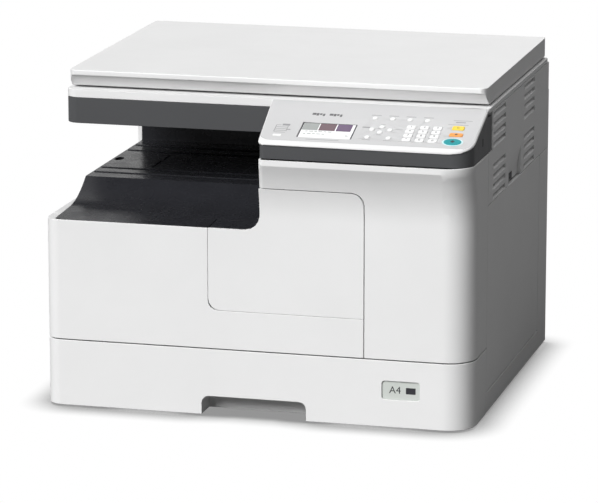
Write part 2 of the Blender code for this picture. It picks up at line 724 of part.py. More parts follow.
def panel_plan(inset, left_back):
    """The panel's plan, drawn in by an inset, with its left edge leaning out towards the back."""
    front = inset - NOSE_REACH
    return rounded(
        [
            (PANEL_LEFT + inset, front, 0.010 - inset),
            (PANEL_RIGHT - inset / 2, front, 0.028 - inset),
            (PANEL_RIGHT - inset / 2, PANEL_BACK, 0),
            (left_back, PANEL_BACK, 0),
        ],
        6,
    )


def panel_slab(low, drop):
    """A wedge below the panel's plane, from a level floor or from a parallel plane."""
    front, back = -0.030, 0.110
    floor = [(front, low), (back, low)] if low else [(d, panel_height(d) - PANEL_THICK) for d in (front, back)]
    roof = [(d, panel_height(d) - drop) for d in (back, front)]
    return prism([*floor, *roof], "X", 0.250, 0.600)


def build_panel_band(machine):
    """The dark housing under the panel, with a tail along the right side."""
    item = stand(prism(panel_plan(0.001, PANEL_LEFT + 0.001), "Z", LIP_TOP + GAP, 0.430))
    keep(item, panel_slab(LIP_TOP + GAP, PANEL_THICK + GAP))
    inner = RIGHT_SIDE - SIDE_SKIN
    tail = box((inner, PANEL_BACK - 0.004, LIP_TOP + GAP), (PANEL_RIGHT - 0.0005, BAND_END, 0.3975))
    fuse(item, tail)
    cut(item, prism(rectangle(*BAND_SLOT, 0.0012), "X", PANEL_RIGHT - 0.004, PANEL_RIGHT + WALL))
    finish(item, "panel_band", "dark_grey", machine)


def key_layout():
    """Name, finish, place on the panel (left, up the slope) and outline of every key."""
    dot = circle(0, 0, 0.0036, 12)
    bar = rectangle(-0.006, -0.004, 0.006, 0.004, 0.002)
    keys = []
    for number in range(4):
        keys.append((f"function_key_{number + 1}", "white", 0.4321 + 0.0232 * number, 0.0712, dot))
    cursor = {"up": (0.4460, 0.0490), "left": (0.4341, 0.0420), "right": (0.4580, 0.0420), "down": (0.4460, 0.0350)}
    for name, (left, along) in cursor.items():
        keys.append((f"cursor_key_{name}", "white", left, along, dot))
    for number, left in enumerate((0.4323, 0.4606)):
        keys.append((f"mode_key_{number + 1}", "white", left, 0.0210, dot))
    names = ("1", "2", "3", "4", "5", "6", "7", "8", "9", "star", "0", "hash")
    for number, name in enumerate(names):
        row, column = divmod(number, 3)
        keys.append((f"number_key_{name}", "white", 0.4844 + 0.0173 * column, 0.0522 - 0.0110 * row, bar))
    keys.append(("clear_key", "yellow", 0.5457, 0.0552, rectangle(-0.008, -0.005, 0.008, 0.005, 0.0025)))
    keys.append(("stop_key", "orange", 0.5463, 0.0376, rectangle(-0.009, -0.0042, 0.009, 0.0042, 0.0025)))
    oval = [Vector((point.x * 0.0117, point.y * 0.0080)) for point in circle(0, 0, 1.0, 20)]
    keys.append(("start_key", "teal", 0.5454, 0.0190, oval))
    return keys


def grown(outline, by):
    """An outline about the origin, pushed out on every side."""
    return [point + Vector((math.copysign(by, point.x), math.copysign(by, point.y))) for point in outline]


def build_panel_cover(machine):
    """The white sloped panel, with an opening for the screen and for each key."""
    item = stand(prism(panel_plan(0.0, 0.2835), "Z", 0.355, 0.430))
    keep(item, panel_slab(0.0, 0.0))
    rim = bmesh.new()
    rim.from_mesh(item.data)

    def on_rim(a, b):
        faces_up = all(abs(point.z - panel_height(point.y)) < 1e-5 for point in (a, b))
        return faces_up and min(a.y, b.y) < PANEL_BACK - 1e-4

    boundary = [edge for edge in rim.edges if not edge.is_boundary and edge.calc_face_angle(0) > 0.5]
    chosen = [edge for edge in boundary if on_rim(edge.verts[0].co, edge.verts[1].co)]
    bmesh.ops.bevel(
        rim, geom=chosen, offset=0.0028, segments=3, affect="EDGES", profile=0.5, clamp_overlap=True, material=-1
    )
    rim.to_mesh(item.data)
    rim.free()
    half_wide, half_high = LCD_SIZE[0] / 2 + GAP, LCD_SIZE[1] / 2 + GAP
    screen = prism(rectangle(-half_wide, -half_high, half_wide, half_high), "Z", -0.010, 0.010)
    cut(item, on_panel(screen, *LCD_MIDDLE))
    holes = []
    for _, _, left, along, outline in key_layout():
        holes.append(on_panel(prism(grown(outline, GAP), "Z", -0.010, 0.010), left, along))
    cut(item, gathered(holes))
    finish(item, "panel_cover", "white", machine)


def build_lcd(machine):
    half_wide, half_high = LCD_SIZE[0] / 2, LCD_SIZE[1] / 2
    item = stand(on_panel(box((-half_wide, -half_high, -0.0032), (half_wide, half_high, -0.0006)), *LCD_MIDDLE))
    finish(item, "lcd_display", "screen", machine)


def build_keys(machine):
    """Each key is drawn flat and turned into the panel by its own rotation."""
    for name, finish_name, left, along, outline in key_layout():
        cap = prism(outline, "Z", -KEY_DEEP, KEY_RISE)
        soften(cap, lambda a, b: min(a.z, b.z) > KEY_RISE - 1e-6, 0.0005, 1)
        item = stand(cap)
        place = panel_place(left, along)
        carrier = pivot(name + "_slide", *place, machine)
        item.data.transform(Matrix.Translation(Vector(carrier["place"]) - SHIFT))
        finish(item, name, finish_name, carrier)
        item.rotation_euler = (PANEL_SLOPE, 0.0, 0.0)


def build_lid(carrier):
    """The platen lid: a flat top, a rolled front rim that overhangs the grip face, and pockets for the hinges."""
    rim_low = LID_NOSE_TOP - LID_RIM
    profile = [
        (LID_FOOT + LID_UNDERCUT[0], LID_LOW, 0),
        (LID_FOOT, LID_LOW + LID_UNDERCUT[1], 0),
        (LID_GRIP, rim_low, 0.001),
        (LID_NOSE, rim_low, 0.0015),
        (LID_NOSE, LID_NOSE_TOP, 0.0018),
        (LID_BACK, LID_TOP, 0.004),
        (LID_BACK, LID_LOW, 0),
    ]
    item = stand(prism(rounded(profile), "X", LID_LEFT, LID_RIGHT))
    plan = rectangle(LID_LEFT, LID_NOSE - 0.001, LID_RIGHT, LID_BACK + 0.001, LID_CORNER)
    keep(item, prism(plan, "Z", 0.400, 0.450))
    for left in HINGE_LEFTS:
        pocket = [(0.488, 0.400), (0.520, 0.400), (0.520, 0.4320), (0.488, 0.4320)]
        cut(item, prism(pocket, "X", left, left + HINGE_WIDTH))
        cut(item, prism(circle(*LID_HINGE, 0.0028, 12), "X", left - 0.008, left + HINGE_WIDTH + 0.008))
    recess = rectangle(0.040, 0.128, 0.535, 0.470, 0.006)
    cut(item, prism(recess, "Z", 0.400, 0.4152))
    finish(item, "lid_cover", "white", carrier)
    pad = stand(prism(rectangle(0.042, 0.130, 0.533, 0.468, 0.005), "Z", SCANNER_TOP + 0.0004, 0.4149))
    finish(pad, "platen_pad", "white", carrier)


def build_lid_hinges(machine):
    """Two hinges behind the glass: a foot, a barrel in the lid's pocket and a pin through both pocket walls."""
    for side, left in zip(("left", "right"), HINGE_LEFTS):
        clear = 0.0004
        item = stand(prism(circle(*LID_HINGE, 0.0060, 16), "X", left + clear, left + HINGE_WIDTH - clear))
        pin = prism(circle(*LID_HINGE, 0.0024, 12), "X", left - 0.0070, left + HINGE_WIDTH + 0.0070)
        foot = [(0.4955, SCANNER_TOP + GAP), (0.4995, SCANNER_TOP + GAP), (0.5045, LID_HINGE[1]), (0.4955, LID_HINGE[1])]
        fuse(item, pin, prism(foot, "X", left + 0.006, left + HINGE_WIDTH - 0.006))
        finish(item, f"lid_hinge_{side}", "steel", machine)


def build_drawer_front(carrier):
    """The drawer's front, with the hand recess open at the bottom and the card window."""
    outline = [
        (LEFT_SIDE, LEFT_RETURN, 0),
        (LEFT_SIDE, 0, LEFT_CORNER),
        (RIGHT_SIDE, 0, RIGHT_CORNER),
        (RIGHT_SIDE, RIGHT_RETURN, 0),
        (RIGHT_SIDE - WALL, RIGHT_RETURN, 0),
        (RIGHT_SIDE - WALL, FRONT_WALL, RIGHT_CORNER - WALL),
        (LEFT_SIDE + WALL, FRONT_WALL, LEFT_CORNER - WALL),
        (LEFT_SIDE + WALL, LEFT_RETURN, 0),
    ]
    item = stand(prism(rounded(outline, BODY_ARC_STEPS), "Z", 0.0, DRAWER_TOP))
    left, right, top = PULL
    wall = 0.005
    back = BIN_LOW[1] - GAP
    fuse(item, box((left - wall, 0.001, 0.0), (right + wall, back, top + wall)))
    fuse(item, box((CARD_WINDOW[0] - wall, 0.001, 0.030), (CARD_WINDOW[1] + wall, 0.010, 0.069)))
    for rib in (0.060, 0.530):
        fuse(item, box((rib, 0.001, 0.0), (rib + 0.004, back, 0.080)))
    pull = [(left, -0.020, 0), (right, -0.020, 0), (right, top, PULL_CORNER), (left, top, PULL_CORNER)]
    cut(item, prism(rounded(pull), "Y", -0.010, PULL_DEPTH))
    window = rectangle(CARD_WINDOW[0], CARD_WINDOW[2], CARD_WINDOW[1], CARD_WINDOW[3], 0.004)
    cut(item, prism(window, "Y", -0.010, 0.005))
    finish(item, "drawer_front", "white", carrier)


def build_drawer_bin(carrier):
    item = stand(box(BIN_LOW, BIN_HIGH))
    low = [value + BIN_WALL for value in BIN_LOW]
    high = [BIN_HIGH[0] - BIN_WALL, BIN_HIGH[1] - BIN_WALL, 0.100]
    cut(item, box(low, high))
    finish(item, "drawer_bin", "pale_grey", carrier)


def build_width_guide(name, carrier, outside):
    """A paper guide: a foot and an upright, drawn on the front or the rear side of the paper."""
    wall = PAPER_MIDDLE + outside * (PAPER_HALF_WIDTH + 0.0015)
    foot = wall + outside * 0.014
    low, high = sorted((wall - outside * 0.0015, foot))
    item = stand(box((0.205, low, BIN_FLOOR), (0.290, high, BIN_FLOOR + 0.002)))
    upright = rounded([(0.205, BIN_FLOOR, 0), (0.290, BIN_FLOOR, 0), (0.290, 0.066, 0.012), (0.205, 0.066, 0.012)])
    fuse(item, prism(upright, "Y", wall - 0.0015, wall + 0.0015))
    rib = [(wall, BIN_FLOOR + 0.001), (foot, BIN_FLOOR + 0.001), (wall, 0.050)]
    fuse(item, prism(rib, "X", 0.246, 0.249))
    finish(item, name, "pale_grey", carrier)


def build_end_guide(carrier):
    item = stand(box((0.100, 0.243, BIN_FLOOR), (0.120, 0.283, BIN_FLOOR + 0.002)))
    upright = rounded([(0.243, BIN_FLOOR, 0), (0.283, BIN_FLOOR, 0), (0.283, 0.066, 0.008), (0.243, 0.066, 0.008)])
    fuse(item, prism(upright, "X", 0.1165, 0.120))
    rib = [(0.117, BIN_FLOOR + 0.001), (0.100, BIN_FLOOR + 0.001), (0.117, 0.052)]
    fuse(item, prism(rib, "Y", 0.2615, 0.2645))
    finish(item, "end_guide", "pale_grey", carrier)


def build_lift_plate(carrier):
    plan = rectangle(0.300, 0.130, 0.538, 0.396, 0.006)
    item = stand(prism(plan, "Z", BIN_FLOOR, BIN_FLOOR + 0.002))
    cut(item, prism(rectangle(0.330, 0.240, 0.420, 0.286, 0.006), "Z", 0.0, 0.020))
    finish(item, "lift_plate", "steel", carrier)


def build_side_door(carrier):
    """The right door, with two arms inside that carry the transfer roller."""
    outline = rectangle(RIGHT_RETURN + SEAM, DOOR_LOW, DOOR_BACK, DOOR_TOP, 0.002)
    item = stand(prism(outline, "X", RIGHT_SIDE - 0.0052, RIGHT_SIDE))
    arm = [
        (RIGHT_SIDE - 0.004, 0.145, 0),
        (TRANSFER_AXIS[0] - 0.007, 0.162, 0.005),
        (TRANSFER_AXIS[0] - 0.007, 0.178, 0.005),
        (RIGHT_SIDE - 0.004, 0.195, 0),
    ]
    for depth in ARM_DEPTHS:
        fuse(item, prism(rounded(arm), "Y", depth, depth + ARM_WIDTH))
        through = (depth - ARM_WIDTH / 4, depth + ARM_WIDTH * 5 / 4)
        cut(item, prism(circle(*TRANSFER_AXIS, SMALL_SHAFT_HOLE, 12), "Y", *through))
    finish(item, "side_door", "white", carrier)


def build_engine_frame(machine):
    """The deck above the drawer and the two plates that hold the engine's shafts."""
    item = stand(box((DECK_LEFT, PLATE_FRONT, DECK_LOW), (PLATE_RIGHT, LEDGE_BACK, DECK_LOW + WALL)))
    left, right, low = PLATE_LEFT, PLATE_RIGHT, DECK_LOW + WALL / 3
    step = BAY_RIGHT + 2 * WALL
    under_tray, top = PLATE_TOPS
    front_plate = [(left, low, 0), (right, low, 0), (right, top, 0.020), (step, top, 0.010), (step, under_tray, 0.006)]
    front_plate.append((left, under_tray, 0.020))
    fuse(item, prism(rounded(front_plate), "Y", PLATE_FRONT, PLATE_FRONT + WALL))
    fuse(item, box((left, PLATE_BACK, low), (right, PLATE_BACK + WALL, SCANNER_LOW - GAP)))
    ear_left, ear_right, ear_top = FEED_AXIS[0] - 0.010, FEED_AXIS[0] + 0.010, FEED_AXIS[1] + 0.0102
    ear = rounded([(ear_left, low, 0), (ear_right, low, 0), (ear_right, ear_top, 0.006), (ear_left, ear_top, 0.006)])
    for depth in FEED_EARS:
        fuse(item, prism(ear, "Y", depth, depth + WALL))
    window = FEED_WINDOW
    cut(item, box((*window[:2], DECK_LOW - WALL), (*window[2:], DECK_LOW + WALL + 0.0005)))
    for axis in (DRUM_AXIS, FUSER_AXIS):
        cut(item, prism(circle(*axis, SHAFT_HOLE, 12), "Y", PLATE_FRONT - WALL, PLATE_BACK + 2 * WALL))
    cut(item, prism(circle(*FEED_AXIS, SMALL_SHAFT_HOLE, 12), "Y", FEED_EARS[0] - WALL, FEED_EARS[1] + 2 * WALL))
    cut(item, prism(circle(*CARTRIDGE_AXIS, CARTRIDGE_HOLE, 32), "Y", PLATE_FRONT - WALL, PLATE_FRONT + 2 * WALL))
    cut(item, prism(circle(*CARTRIDGE_AXIS, CARTRIDGE_PIN_HOLE, 16), "Y", PLATE_BACK - WALL, PLATE_BACK + 2 * WALL))
    finish(item, "engine_frame", "steel", machine)


def build_rollers(machine, door):
    """Each roller turns on its own shaft."""
    long_start, long_end = PLATE_FRONT - 0.001, PLATE_BACK + 0.005
    drum = [(long_start, 0.004), (0.068, 0.004), (0.068, 0.015), (0.448, 0.015), (0.448, 0.018), (0.456, 0.018)]
    drum += [(0.456, 0.004), (long_end, 0.004)]
    fuser = [(long_start, 0.004), (0.080, 0.004), (0.080, 0.013), (0.445, 0.013), (0.445, 0.004), (long_end, 0.004)]
    feed = [(0.2262, 0.003), (0.2325, 0.003), (0.2325, 0.010), (0.2870, 0.010), (0.2870, 0.003), (0.2935, 0.003)]
    transfer = [(0.111, 0.003), (0.118, 0.003), (0.118, 0.0085), (0.422, 0.0085), (0.422, 0.003), (0.429, 0.003)]
    rollers = {
        "drum": (drum, DRUM_AXIS, "drum_green", machine),
        "fuser_roller": (fuser, FUSER_AXIS, "steel", machine),
        "feed_roller": (feed, FEED_AXIS, "rubber", machine),
        "transfer_roller": (transfer, TRANSFER_AXIS, "rubber", door),
    }
    for name, (profile, axis, finish_name, parent) in rollers.items():
        carrier = pivot(name + "_axis", axis[0], profile[0][0], axis[1], parent)
        finish(stand(turned(profile, axis)), name, finish_name, carrier)


def build_toner_cartridge(machine):
    """The toner bottle, held by both engine plates, with a bar to turn it by."""
    profile = [(0.050, 0.034), (0.053, 0.038), (0.462, 0.038), (0.464, 0.036), (0.464, 0.012), (0.474, 0.012)]
    item = stand(turned(profile, CARTRIDGE_AXIS, 32))
    left, height = CARTRIDGE_AXIS
    grip = prism(rectangle(left - 0.005, height - 0.028, left + 0.005, height + 0.028, 0.003), "Y", 0.040, 0.056)
    fuse(item, grip)
    finish(item, "toner_cartridge", "dark_grey", machine)


def main():
    machine = pivot("machine", *(-SHIFT))
    lid = pivot("lid_pivot", MIDDLE, *LID_HINGE, machine)
    cover = pivot("toner_cover_pivot", COVER_LEFT, *COVER_HINGE, machine)
    door = pivot("side_door_pivot", DOOR_HINGE[0], RIGHT_RETURN, DOOR_HINGE[1], machine)
    drawer = pivot("drawer_slide", MIDDLE, 0.0, DRAWER_TOP / 2, machine)
    carriage = pivot("carriage_slide", 0.048, 0.290, 0.3740, machine)
    front_guide = pivot("front_guide_slide", 0.2475, PAPER_MIDDLE - PAPER_HALF_WIDTH, BIN_FLOOR, drawer)
    rear_guide = pivot("rear_guide_slide", 0.2475, PAPER_MIDDLE + PAPER_HALF_WIDTH, BIN_FLOOR, drawer)
    end_guide = pivot("end_guide_slide", 0.120, PAPER_MIDDLE, BIN_FLOOR, drawer)
    lift = pivot("lift_plate_pivot", 0.301, PAPER_MIDDLE, BIN_FLOOR + 0.001, drawer)

    build_base_pan(machine)
    build_base_rail(machine)
    build_left_cover(machine)
    build_rear_cover(machine)
    build_power_inlet(machine)
    build_right_cover(machine)
    build_front_left_cover(machine)
    build_front_right_cover(machine)
    build_output_tray(machine)
    build_engine_frame(machine)
    build_toner_cartridge(machine)
    build_scanner_base(machine)
    build_scanner_top(machine)
    build_platen_glass(machine)
    build_scanner_bezel(machine)
    build_panel_band(machine)
    build_panel_cover(machine)
    build_lcd(machine)
    build_lid_hinges(machine)
    build_toner_cover(cover)
    build_side_door(door)
    build_rollers(machine, door)
    build_scan_carriage(carriage)
    build_lid(lid)
    build_drawer_front(drawer)
    build_drawer_bin(drawer)
    build_width_guide("width_guide_front", front_guide, -1)
    build_width_guide("width_guide_rear", rear_guide, 1)
    build_end_guide(end_guide)
    build_lift_plate(lift)
    build_keys(machine)


main()
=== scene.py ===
"""Finishes a desktop photocopier: every solid gets rounded edges and its own plastic, steel, rubber or glass.

The control panel, the screen, the keys and the paper drawer also get their printed marks.

All pieces are in metres, in the frame of the solids: +X to the machine's right, +Y to its back, +Z up.
"""

import json
import math

import bmesh
import bpy
from bpy.props import FloatProperty, FloatVectorProperty, PointerProperty
from mathutils import Matrix, Vector


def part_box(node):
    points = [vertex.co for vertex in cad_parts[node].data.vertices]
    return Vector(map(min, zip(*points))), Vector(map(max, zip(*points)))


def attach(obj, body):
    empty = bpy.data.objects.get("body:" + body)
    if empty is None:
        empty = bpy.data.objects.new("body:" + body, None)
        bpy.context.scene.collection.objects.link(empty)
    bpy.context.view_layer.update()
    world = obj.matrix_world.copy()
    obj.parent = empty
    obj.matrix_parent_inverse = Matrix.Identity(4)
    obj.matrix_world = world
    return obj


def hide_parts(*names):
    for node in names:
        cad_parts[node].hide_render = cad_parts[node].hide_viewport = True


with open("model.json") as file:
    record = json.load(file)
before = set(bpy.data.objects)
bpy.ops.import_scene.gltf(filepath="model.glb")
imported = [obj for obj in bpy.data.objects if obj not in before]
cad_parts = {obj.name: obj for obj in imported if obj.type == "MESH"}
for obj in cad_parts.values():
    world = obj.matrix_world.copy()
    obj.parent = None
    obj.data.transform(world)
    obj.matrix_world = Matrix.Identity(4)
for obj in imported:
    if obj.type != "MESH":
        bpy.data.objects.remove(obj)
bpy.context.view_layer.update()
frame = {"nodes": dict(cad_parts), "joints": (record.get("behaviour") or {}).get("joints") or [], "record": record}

bl_info = {
    "name": "Photocopier finish",
    "version": (1, 0, 0),
    "blender": (4, 5, 0),
    "location": "View3D > Sidebar > Copier",
    "description": "Dresses the solids of a desktop photocopier and sets its studio stage",
    "category": "Object",
}

RECORD = frame["record"]
BODY_OF = {node: body for body, nodes in RECORD["behaviour"]["bodies"].items() for node in nodes}
SLOT_OF = {part["node"]: part["material_slot"] for part in RECORD["subparts"]}
PRESS = next(joint for joint in frame["joints"] if joint["name"] == "start_key_press")["axis"]
PANEL_SLOPE = math.atan2(PRESS[1], -PRESS[2])
MERGE = 1e-5
FLAT_ANGLE = math.radians(0.6)
SHARP_ANGLE = math.radians(31)


def length(name, description, default):
    return FloatProperty(name=name, description=description, default=default, unit="LENGTH", precision=5)


def share(name, description, default):
    return FloatProperty(
        name=name, description=description, default=default, min=0.0, max=1.0, subtype="FACTOR"
    )


def angle(name, description, degrees):
    return FloatProperty(name=name, description=description, default=math.radians(degrees), subtype="ANGLE")


def colour(name, description, default):
    return FloatVectorProperty(
        name=name, description=description, default=default, size=3, min=0.0, max=1.0, subtype="COLOR"
    )


class CopierSizes(bpy.types.PropertyGroup):
    """Sizes of the finish that the solids leave out."""

    moulding_edge: length("Moulding edge", "Rounding along the edges of the large mouldings", 0.0007)
    small_edge: length("Small edge", "Rounding along the edges of keys, guides and metal pieces", 0.00025)
    print_depth: length("Print depth", "Height of printed marks above their surface", 0.00006)
    digit_height: length("Digit height", "Height of the digits on the number keys", 0.0040)
    card_setback: length("Card setback", "Depth of the size card behind the drawer's face", 0.0022)
    pad_crown: length("Pad crown", "How far the pad under the lid swells between its edges", 0.0007)
    cover_wall: length("Cover wall", "Depth of the toner cover's white front, up to its dark lip", 0.0042)
    body_corner: length("Body corner", "Radius of the body's right front corner", 0.038)
    lip_height: length("Lip height", "Height of the lip under the panel", 0.0075)
    sweep_height: length("Sweep height", "Height of the sweep below the lip", 0.0733)
    cheek_height: length("Cheek height", "Height of the rim at the sweep's right end", 0.0583)
    cheek_proud: length("Cheek rim", "How far that rim stands out before it is evened", 0.0040)
    lip_lean: share("Lip lean", "How far the lip's left end leans right, as a share of its reach", 0.18)
    lip_end: length("Lip end", "Width of the round at the lip's left end", 0.0065)
    grip_setback: length("Grip setback", "How far the foot of the lid's grip face is set back", 0.0040)
    panel_rim: length("Panel rim", "Rounding round the outside of the control panel", 0.0022)


class CopierColours(bpy.types.PropertyGroup):
    """Colours of the plastics, metals and prints."""

    white: colour("White plastic", "Covers, lid, drawer front and panel", (0.79, 0.79, 0.79))
    overlay: colour("Panel overlay", "Printed film in the middle of the control panel", (0.575, 0.575, 0.58))
    dark: colour("Dark plastic", "Bands round the scanner and under the panel", (0.079, 0.0805, 0.084))
    tray: colour("Tray plastic", "Output tray", (0.019, 0.0195, 0.023))
    black: colour("Black plastic", "Mains socket and scan carriage", (0.018, 0.018, 0.019))
    pale: colour("Pale plastic", "Drawer bin and paper guides", (0.58, 0.58, 0.57))
    steel: colour("Sheet steel", "Base pan, engine frame and hinges", (0.60, 0.61, 0.62))
    rubber: colour("Rubber", "Feed and transfer rollers, feet", (0.025, 0.025, 0.027))
    drum: colour("Drum coating", "Light-sensitive drum", (0.03, 0.20, 0.15))
    fuser: colour("Fuser coating", "Heated roller", (0.10, 0.10, 0.11))
    pad: colour("Pad sheet", "Sheet on the foam under the lid", (0.84, 0.84, 0.82))
    key: colour("White keys", "Number, cursor and function keys", (0.86, 0.86, 0.86))
    clear_key: colour("Clear key", "Yellow key", (0.90, 0.66, 0.09))
    stop_key: colour("Stop key", "Orange key", (0.86, 0.36, 0.10))
    start_key: colour("Start key", "Green start key", (0.010, 0.30, 0.33))
    start_ring: colour("Start ring", "Pale ring printed round the start key", (0.62, 0.84, 0.86))
    ink: colour("Dark ink", "Digits and dark marks", (0.035, 0.035, 0.040))
    # This grey also paints the shade in the groove round the panel's film.
    grey_ink_and_groove_shade: colour("Grey ink", "Lines and bars printed on the panel", (0.29, 0.29, 0.30))
    lamp_ink: colour("Lamp ink", "Dark marks above the screen", (0.12, 0.12, 0.125))
    screen: colour("Screen", "Lit white of the screen", (0.86, 0.86, 0.87))
    screen_plum: colour("Screen plum", "Middle block on the screen", (0.150, 0.090, 0.110))
    screen_purple: colour("Screen purple", "Right block on the screen", (0.135, 0.085, 0.160))
    screen_grey: colour("Screen grey", "Grey block and lines on the screen", (0.34, 0.36, 0.35))
    card: colour("Size card", "Card in the drawer's window", (0.60, 0.63, 0.60))


class CopierStage(bpy.types.PropertyGroup):
    """Camera, lamps and floor."""

    lens: FloatProperty(name="Lens", description="Focal length in mm, on a 36 mm sensor", default=222.92)
    distance_x: length("Camera right", "Camera's place to the right of the origin", 1.2473)
    distance_y: length("Camera front", "Camera's place in front of the origin, as a negative depth", -4.7824)
    height: length("Camera height", "Camera's height above the floor", 1.3035)
    tilt: angle("Camera tilt", "Angle of the view below the horizon", 12.87747)
    turn: angle("Camera turn", "Angle of the view to the left of straight ahead", 14.67055)
    key_strength: FloatProperty(name="Key lamp", description="Strength of the distant key lamp", default=3.96)
    key_turn: angle("Key turn", "Key lamp's angle to the left of straight ahead", 22.0)
    key_height: angle("Key height", "Key lamp's angle above the horizon", 39.0)
    key_softness: angle("Key softness", "Width of the key lamp as seen from the machine", 40.0)
    back_strength: FloatProperty(name="Back lamp", description="Strength of the lamp behind", default=0.60)
    back_turn: angle("Back turn", "Back lamp's angle to the left of straight ahead", -162.0)
    back_height: angle("Back height", "Back lamp's angle above the horizon", 60.0)
    surround: share("Surround", "Strength of the light from all round", 0.06)
    overhead: share("Overhead", "How much stronger the light from straight above is", 0.04)
    shadow_reach: length("Shadow reach", "How far the contact shadow spreads on the floor", 0.045)


def sizes():
    return bpy.context.scene.copier_sizes


def colours():
    return bpy.context.scene.copier_colours


def stage_settings():
    return bpy.context.scene.copier_stage


# Shader helpers


def add(tree, kind, **values):
    """A shader node, with its settings and its inputs' values."""
    node = tree.nodes.new(kind)
    for name, value in values.items():
        socket = node.inputs.get(name.replace("_", " "))
        if socket is not None:
            socket.default_value = value
        else:
            setattr(node, name, value)
    return node


def calculate(tree, operation, *terms):
    """One step of arithmetic on sockets and numbers."""
    node = add(tree, "ShaderNodeMath", operation=operation)
    for socket, term in zip(node.inputs, terms):
        if isinstance(term, (int, float)):
            socket.default_value = term
        else:
            tree.links.new(term, socket)
    return node.outputs[0]


def blank_material(name):
    """A material with one principled shader, and its tree."""
    material = bpy.data.materials.new(name)
    material.use_nodes = True
    return material, material.node_tree, material.node_tree.nodes["Principled BSDF"]


def object_coordinates(tree, scale=(1.0, 1.0, 1.0)):
    """The object's own coordinates, stretched if a scale is given."""
    place = add(tree, "ShaderNodeTexCoord").outputs["Object"]
    if scale == (1.0, 1.0, 1.0):
        return place
    mapping = add(tree, "ShaderNodeMapping", Scale=scale)
    tree.links.new(place, mapping.inputs["Vector"])
    return mapping.outputs["Vector"]


def noise(tree, size, detail=2.0, stretch=(1.0, 1.0, 1.0)):
    """A cloudy pattern whose blotches are about this size, in metres."""
    node = add(tree, "ShaderNodeTexNoise", Scale=1 / size, Detail=detail, Roughness=0.55)
    tree.links.new(object_coordinates(tree, stretch), node.inputs["Vector"])
    return node.outputs["Fac"]


def spread(tree, pattern, low, high):
    """A pattern's middle part, spread between two values."""
    node = add(tree, "ShaderNodeMapRange", From_Min=0.32, From_Max=0.68, To_Min=low, To_Max=high)
    tree.links.new(pattern, node.inputs["Value"])
    return node.outputs["Result"]


def blend(tree, factor, first, second):
    """A colour between two colours or colour sockets."""
    node = add(tree, "ShaderNodeMix", data_type="RGBA")
    for socket, value in zip((node.inputs[0], node.inputs[6], node.inputs[7]), (factor, first, second)):
        if isinstance(value, bpy.types.NodeSocket):
            tree.links.new(value, socket)
        else:
            socket.default_value = value if isinstance(value, float) else (*value, 1.0)
    return node.outputs[2]


def shaded(tone, by):
    return tuple(value * by for value in tone)


def tint(tree, shader, pattern, first, second):
    """Colours a surface between two tones, by a pattern."""
    tree.links.new(blend(tree, spread(tree, pattern, 0.0, 1.0), first, second), shader.inputs["Base Color"])


def gloss(tree, shader, pattern, low, high):
    """Varies a surface's roughness between two values, by a pattern."""
    tree.links.new(spread(tree, pattern, low, high), shader.inputs["Roughness"])


def grain_bump(tree, shader, pattern, strength, depth):
    """Fine surface grain."""
    bump = add(tree, "ShaderNodeBump", Strength=strength, Distance=depth)
    tree.links.new(pattern, bump.inputs["Height"])
    tree.links.new(bump.outputs["Normal"], shader.inputs["Normal"])


def moulded_plastic(name, tone, roughness=0.5, grain=0.00055, grain_strength=0.22, specular=0.30):
    """Moulded plastic: a fine eroded grain, and a slow change of tone and gloss across the moulding."""
    material, tree, shader = blank_material(name)
    clouds = noise(tree, 0.11, 3.0)
    tint(tree, shader, clouds, shaded(tone, 0.975), tone)
    gloss(tree, shader, noise(tree, 0.03), roughness - 0.04, roughness + 0.04)
    shader.inputs["Specular IOR Level"].default_value = specular
    grain_bump(tree, shader, noise(tree, grain, 3.0), grain_strength, 0.00004)
    return material


def tray_plastic(name, tone):
    """Smooth dark plastic with a hazy gloss and a fine leather-like grain."""
    material, tree, shader = blank_material(name)
    clouds = spread(tree, noise(tree, 0.05, 3.0), 0.0, 1.0)
    tree.links.new(blend(tree, clouds, shaded(tone, 0.9), shaded(tone, 1.1)), shader.inputs["Base Color"])
    gloss(tree, shader, noise(tree, 0.02), 0.24, 0.30)
    shader.inputs["Specular IOR Level"].default_value = 0.28
    grain_bump(tree, shader, noise(tree, 0.0007, 3.0), 0.05, 0.00004)
    return material


def sheet_metal(name, tone, stretch=(1.0, 60.0, 60.0)):
    """Plated sheet steel with rolling marks along one direction."""
    material, tree, shader = blank_material(name)
    rolling = noise(tree, 0.03, 4.0, stretch)
    tint(tree, shader, rolling, shaded(tone, 0.88), tone)
    gloss(tree, shader, rolling, 0.30, 0.46)
    shader.inputs["Metallic"].default_value = 1.0
    grain_bump(tree, shader, rolling, 0.12, 0.00004)
    return material


def rubber(name, tone):
    """Matt rubber with a ground surface."""
    material, tree, shader = blank_material(name)
    ground = noise(tree, 0.0012, 4.0)
    tint(tree, shader, ground, shaded(tone, 0.7), shaded(tone, 1.4))
    gloss(tree, shader, ground, 0.72, 0.90)
    grain_bump(tree, shader, ground, 0.45, 0.0001)
    return material


def coated_tube(name, tone, roughness):
    """A thin even coating on a turned tube, with faint rings."""
    material, tree, shader = blank_material(name)
    rings = noise(tree, 0.004, 2.0, (0.05, 1.0, 0.05))
    tint(tree, shader, rings, shaded(tone, 0.92), shaded(tone, 1.06))
    gloss(tree, shader, rings, roughness - 0.03, roughness + 0.05)
    shader.inputs["Coat Weight"].default_value = 0.6
    shader.inputs["Coat Roughness"].default_value = 0.08
    return material


def clear_glass(name):
    """Float glass with a faint green body and slight smears."""
    material, tree, shader = blank_material(name)
    smears = noise(tree, 0.08, 3.0)
    tint(tree, shader, smears, (0.86, 0.93, 0.90), (0.90, 0.95, 0.93))
    gloss(tree, shader, smears, 0.01, 0.05)
    shader.inputs["Transmission Weight"].default_value = 1.0
    shader.inputs["IOR"].default_value = 1.52
    return material


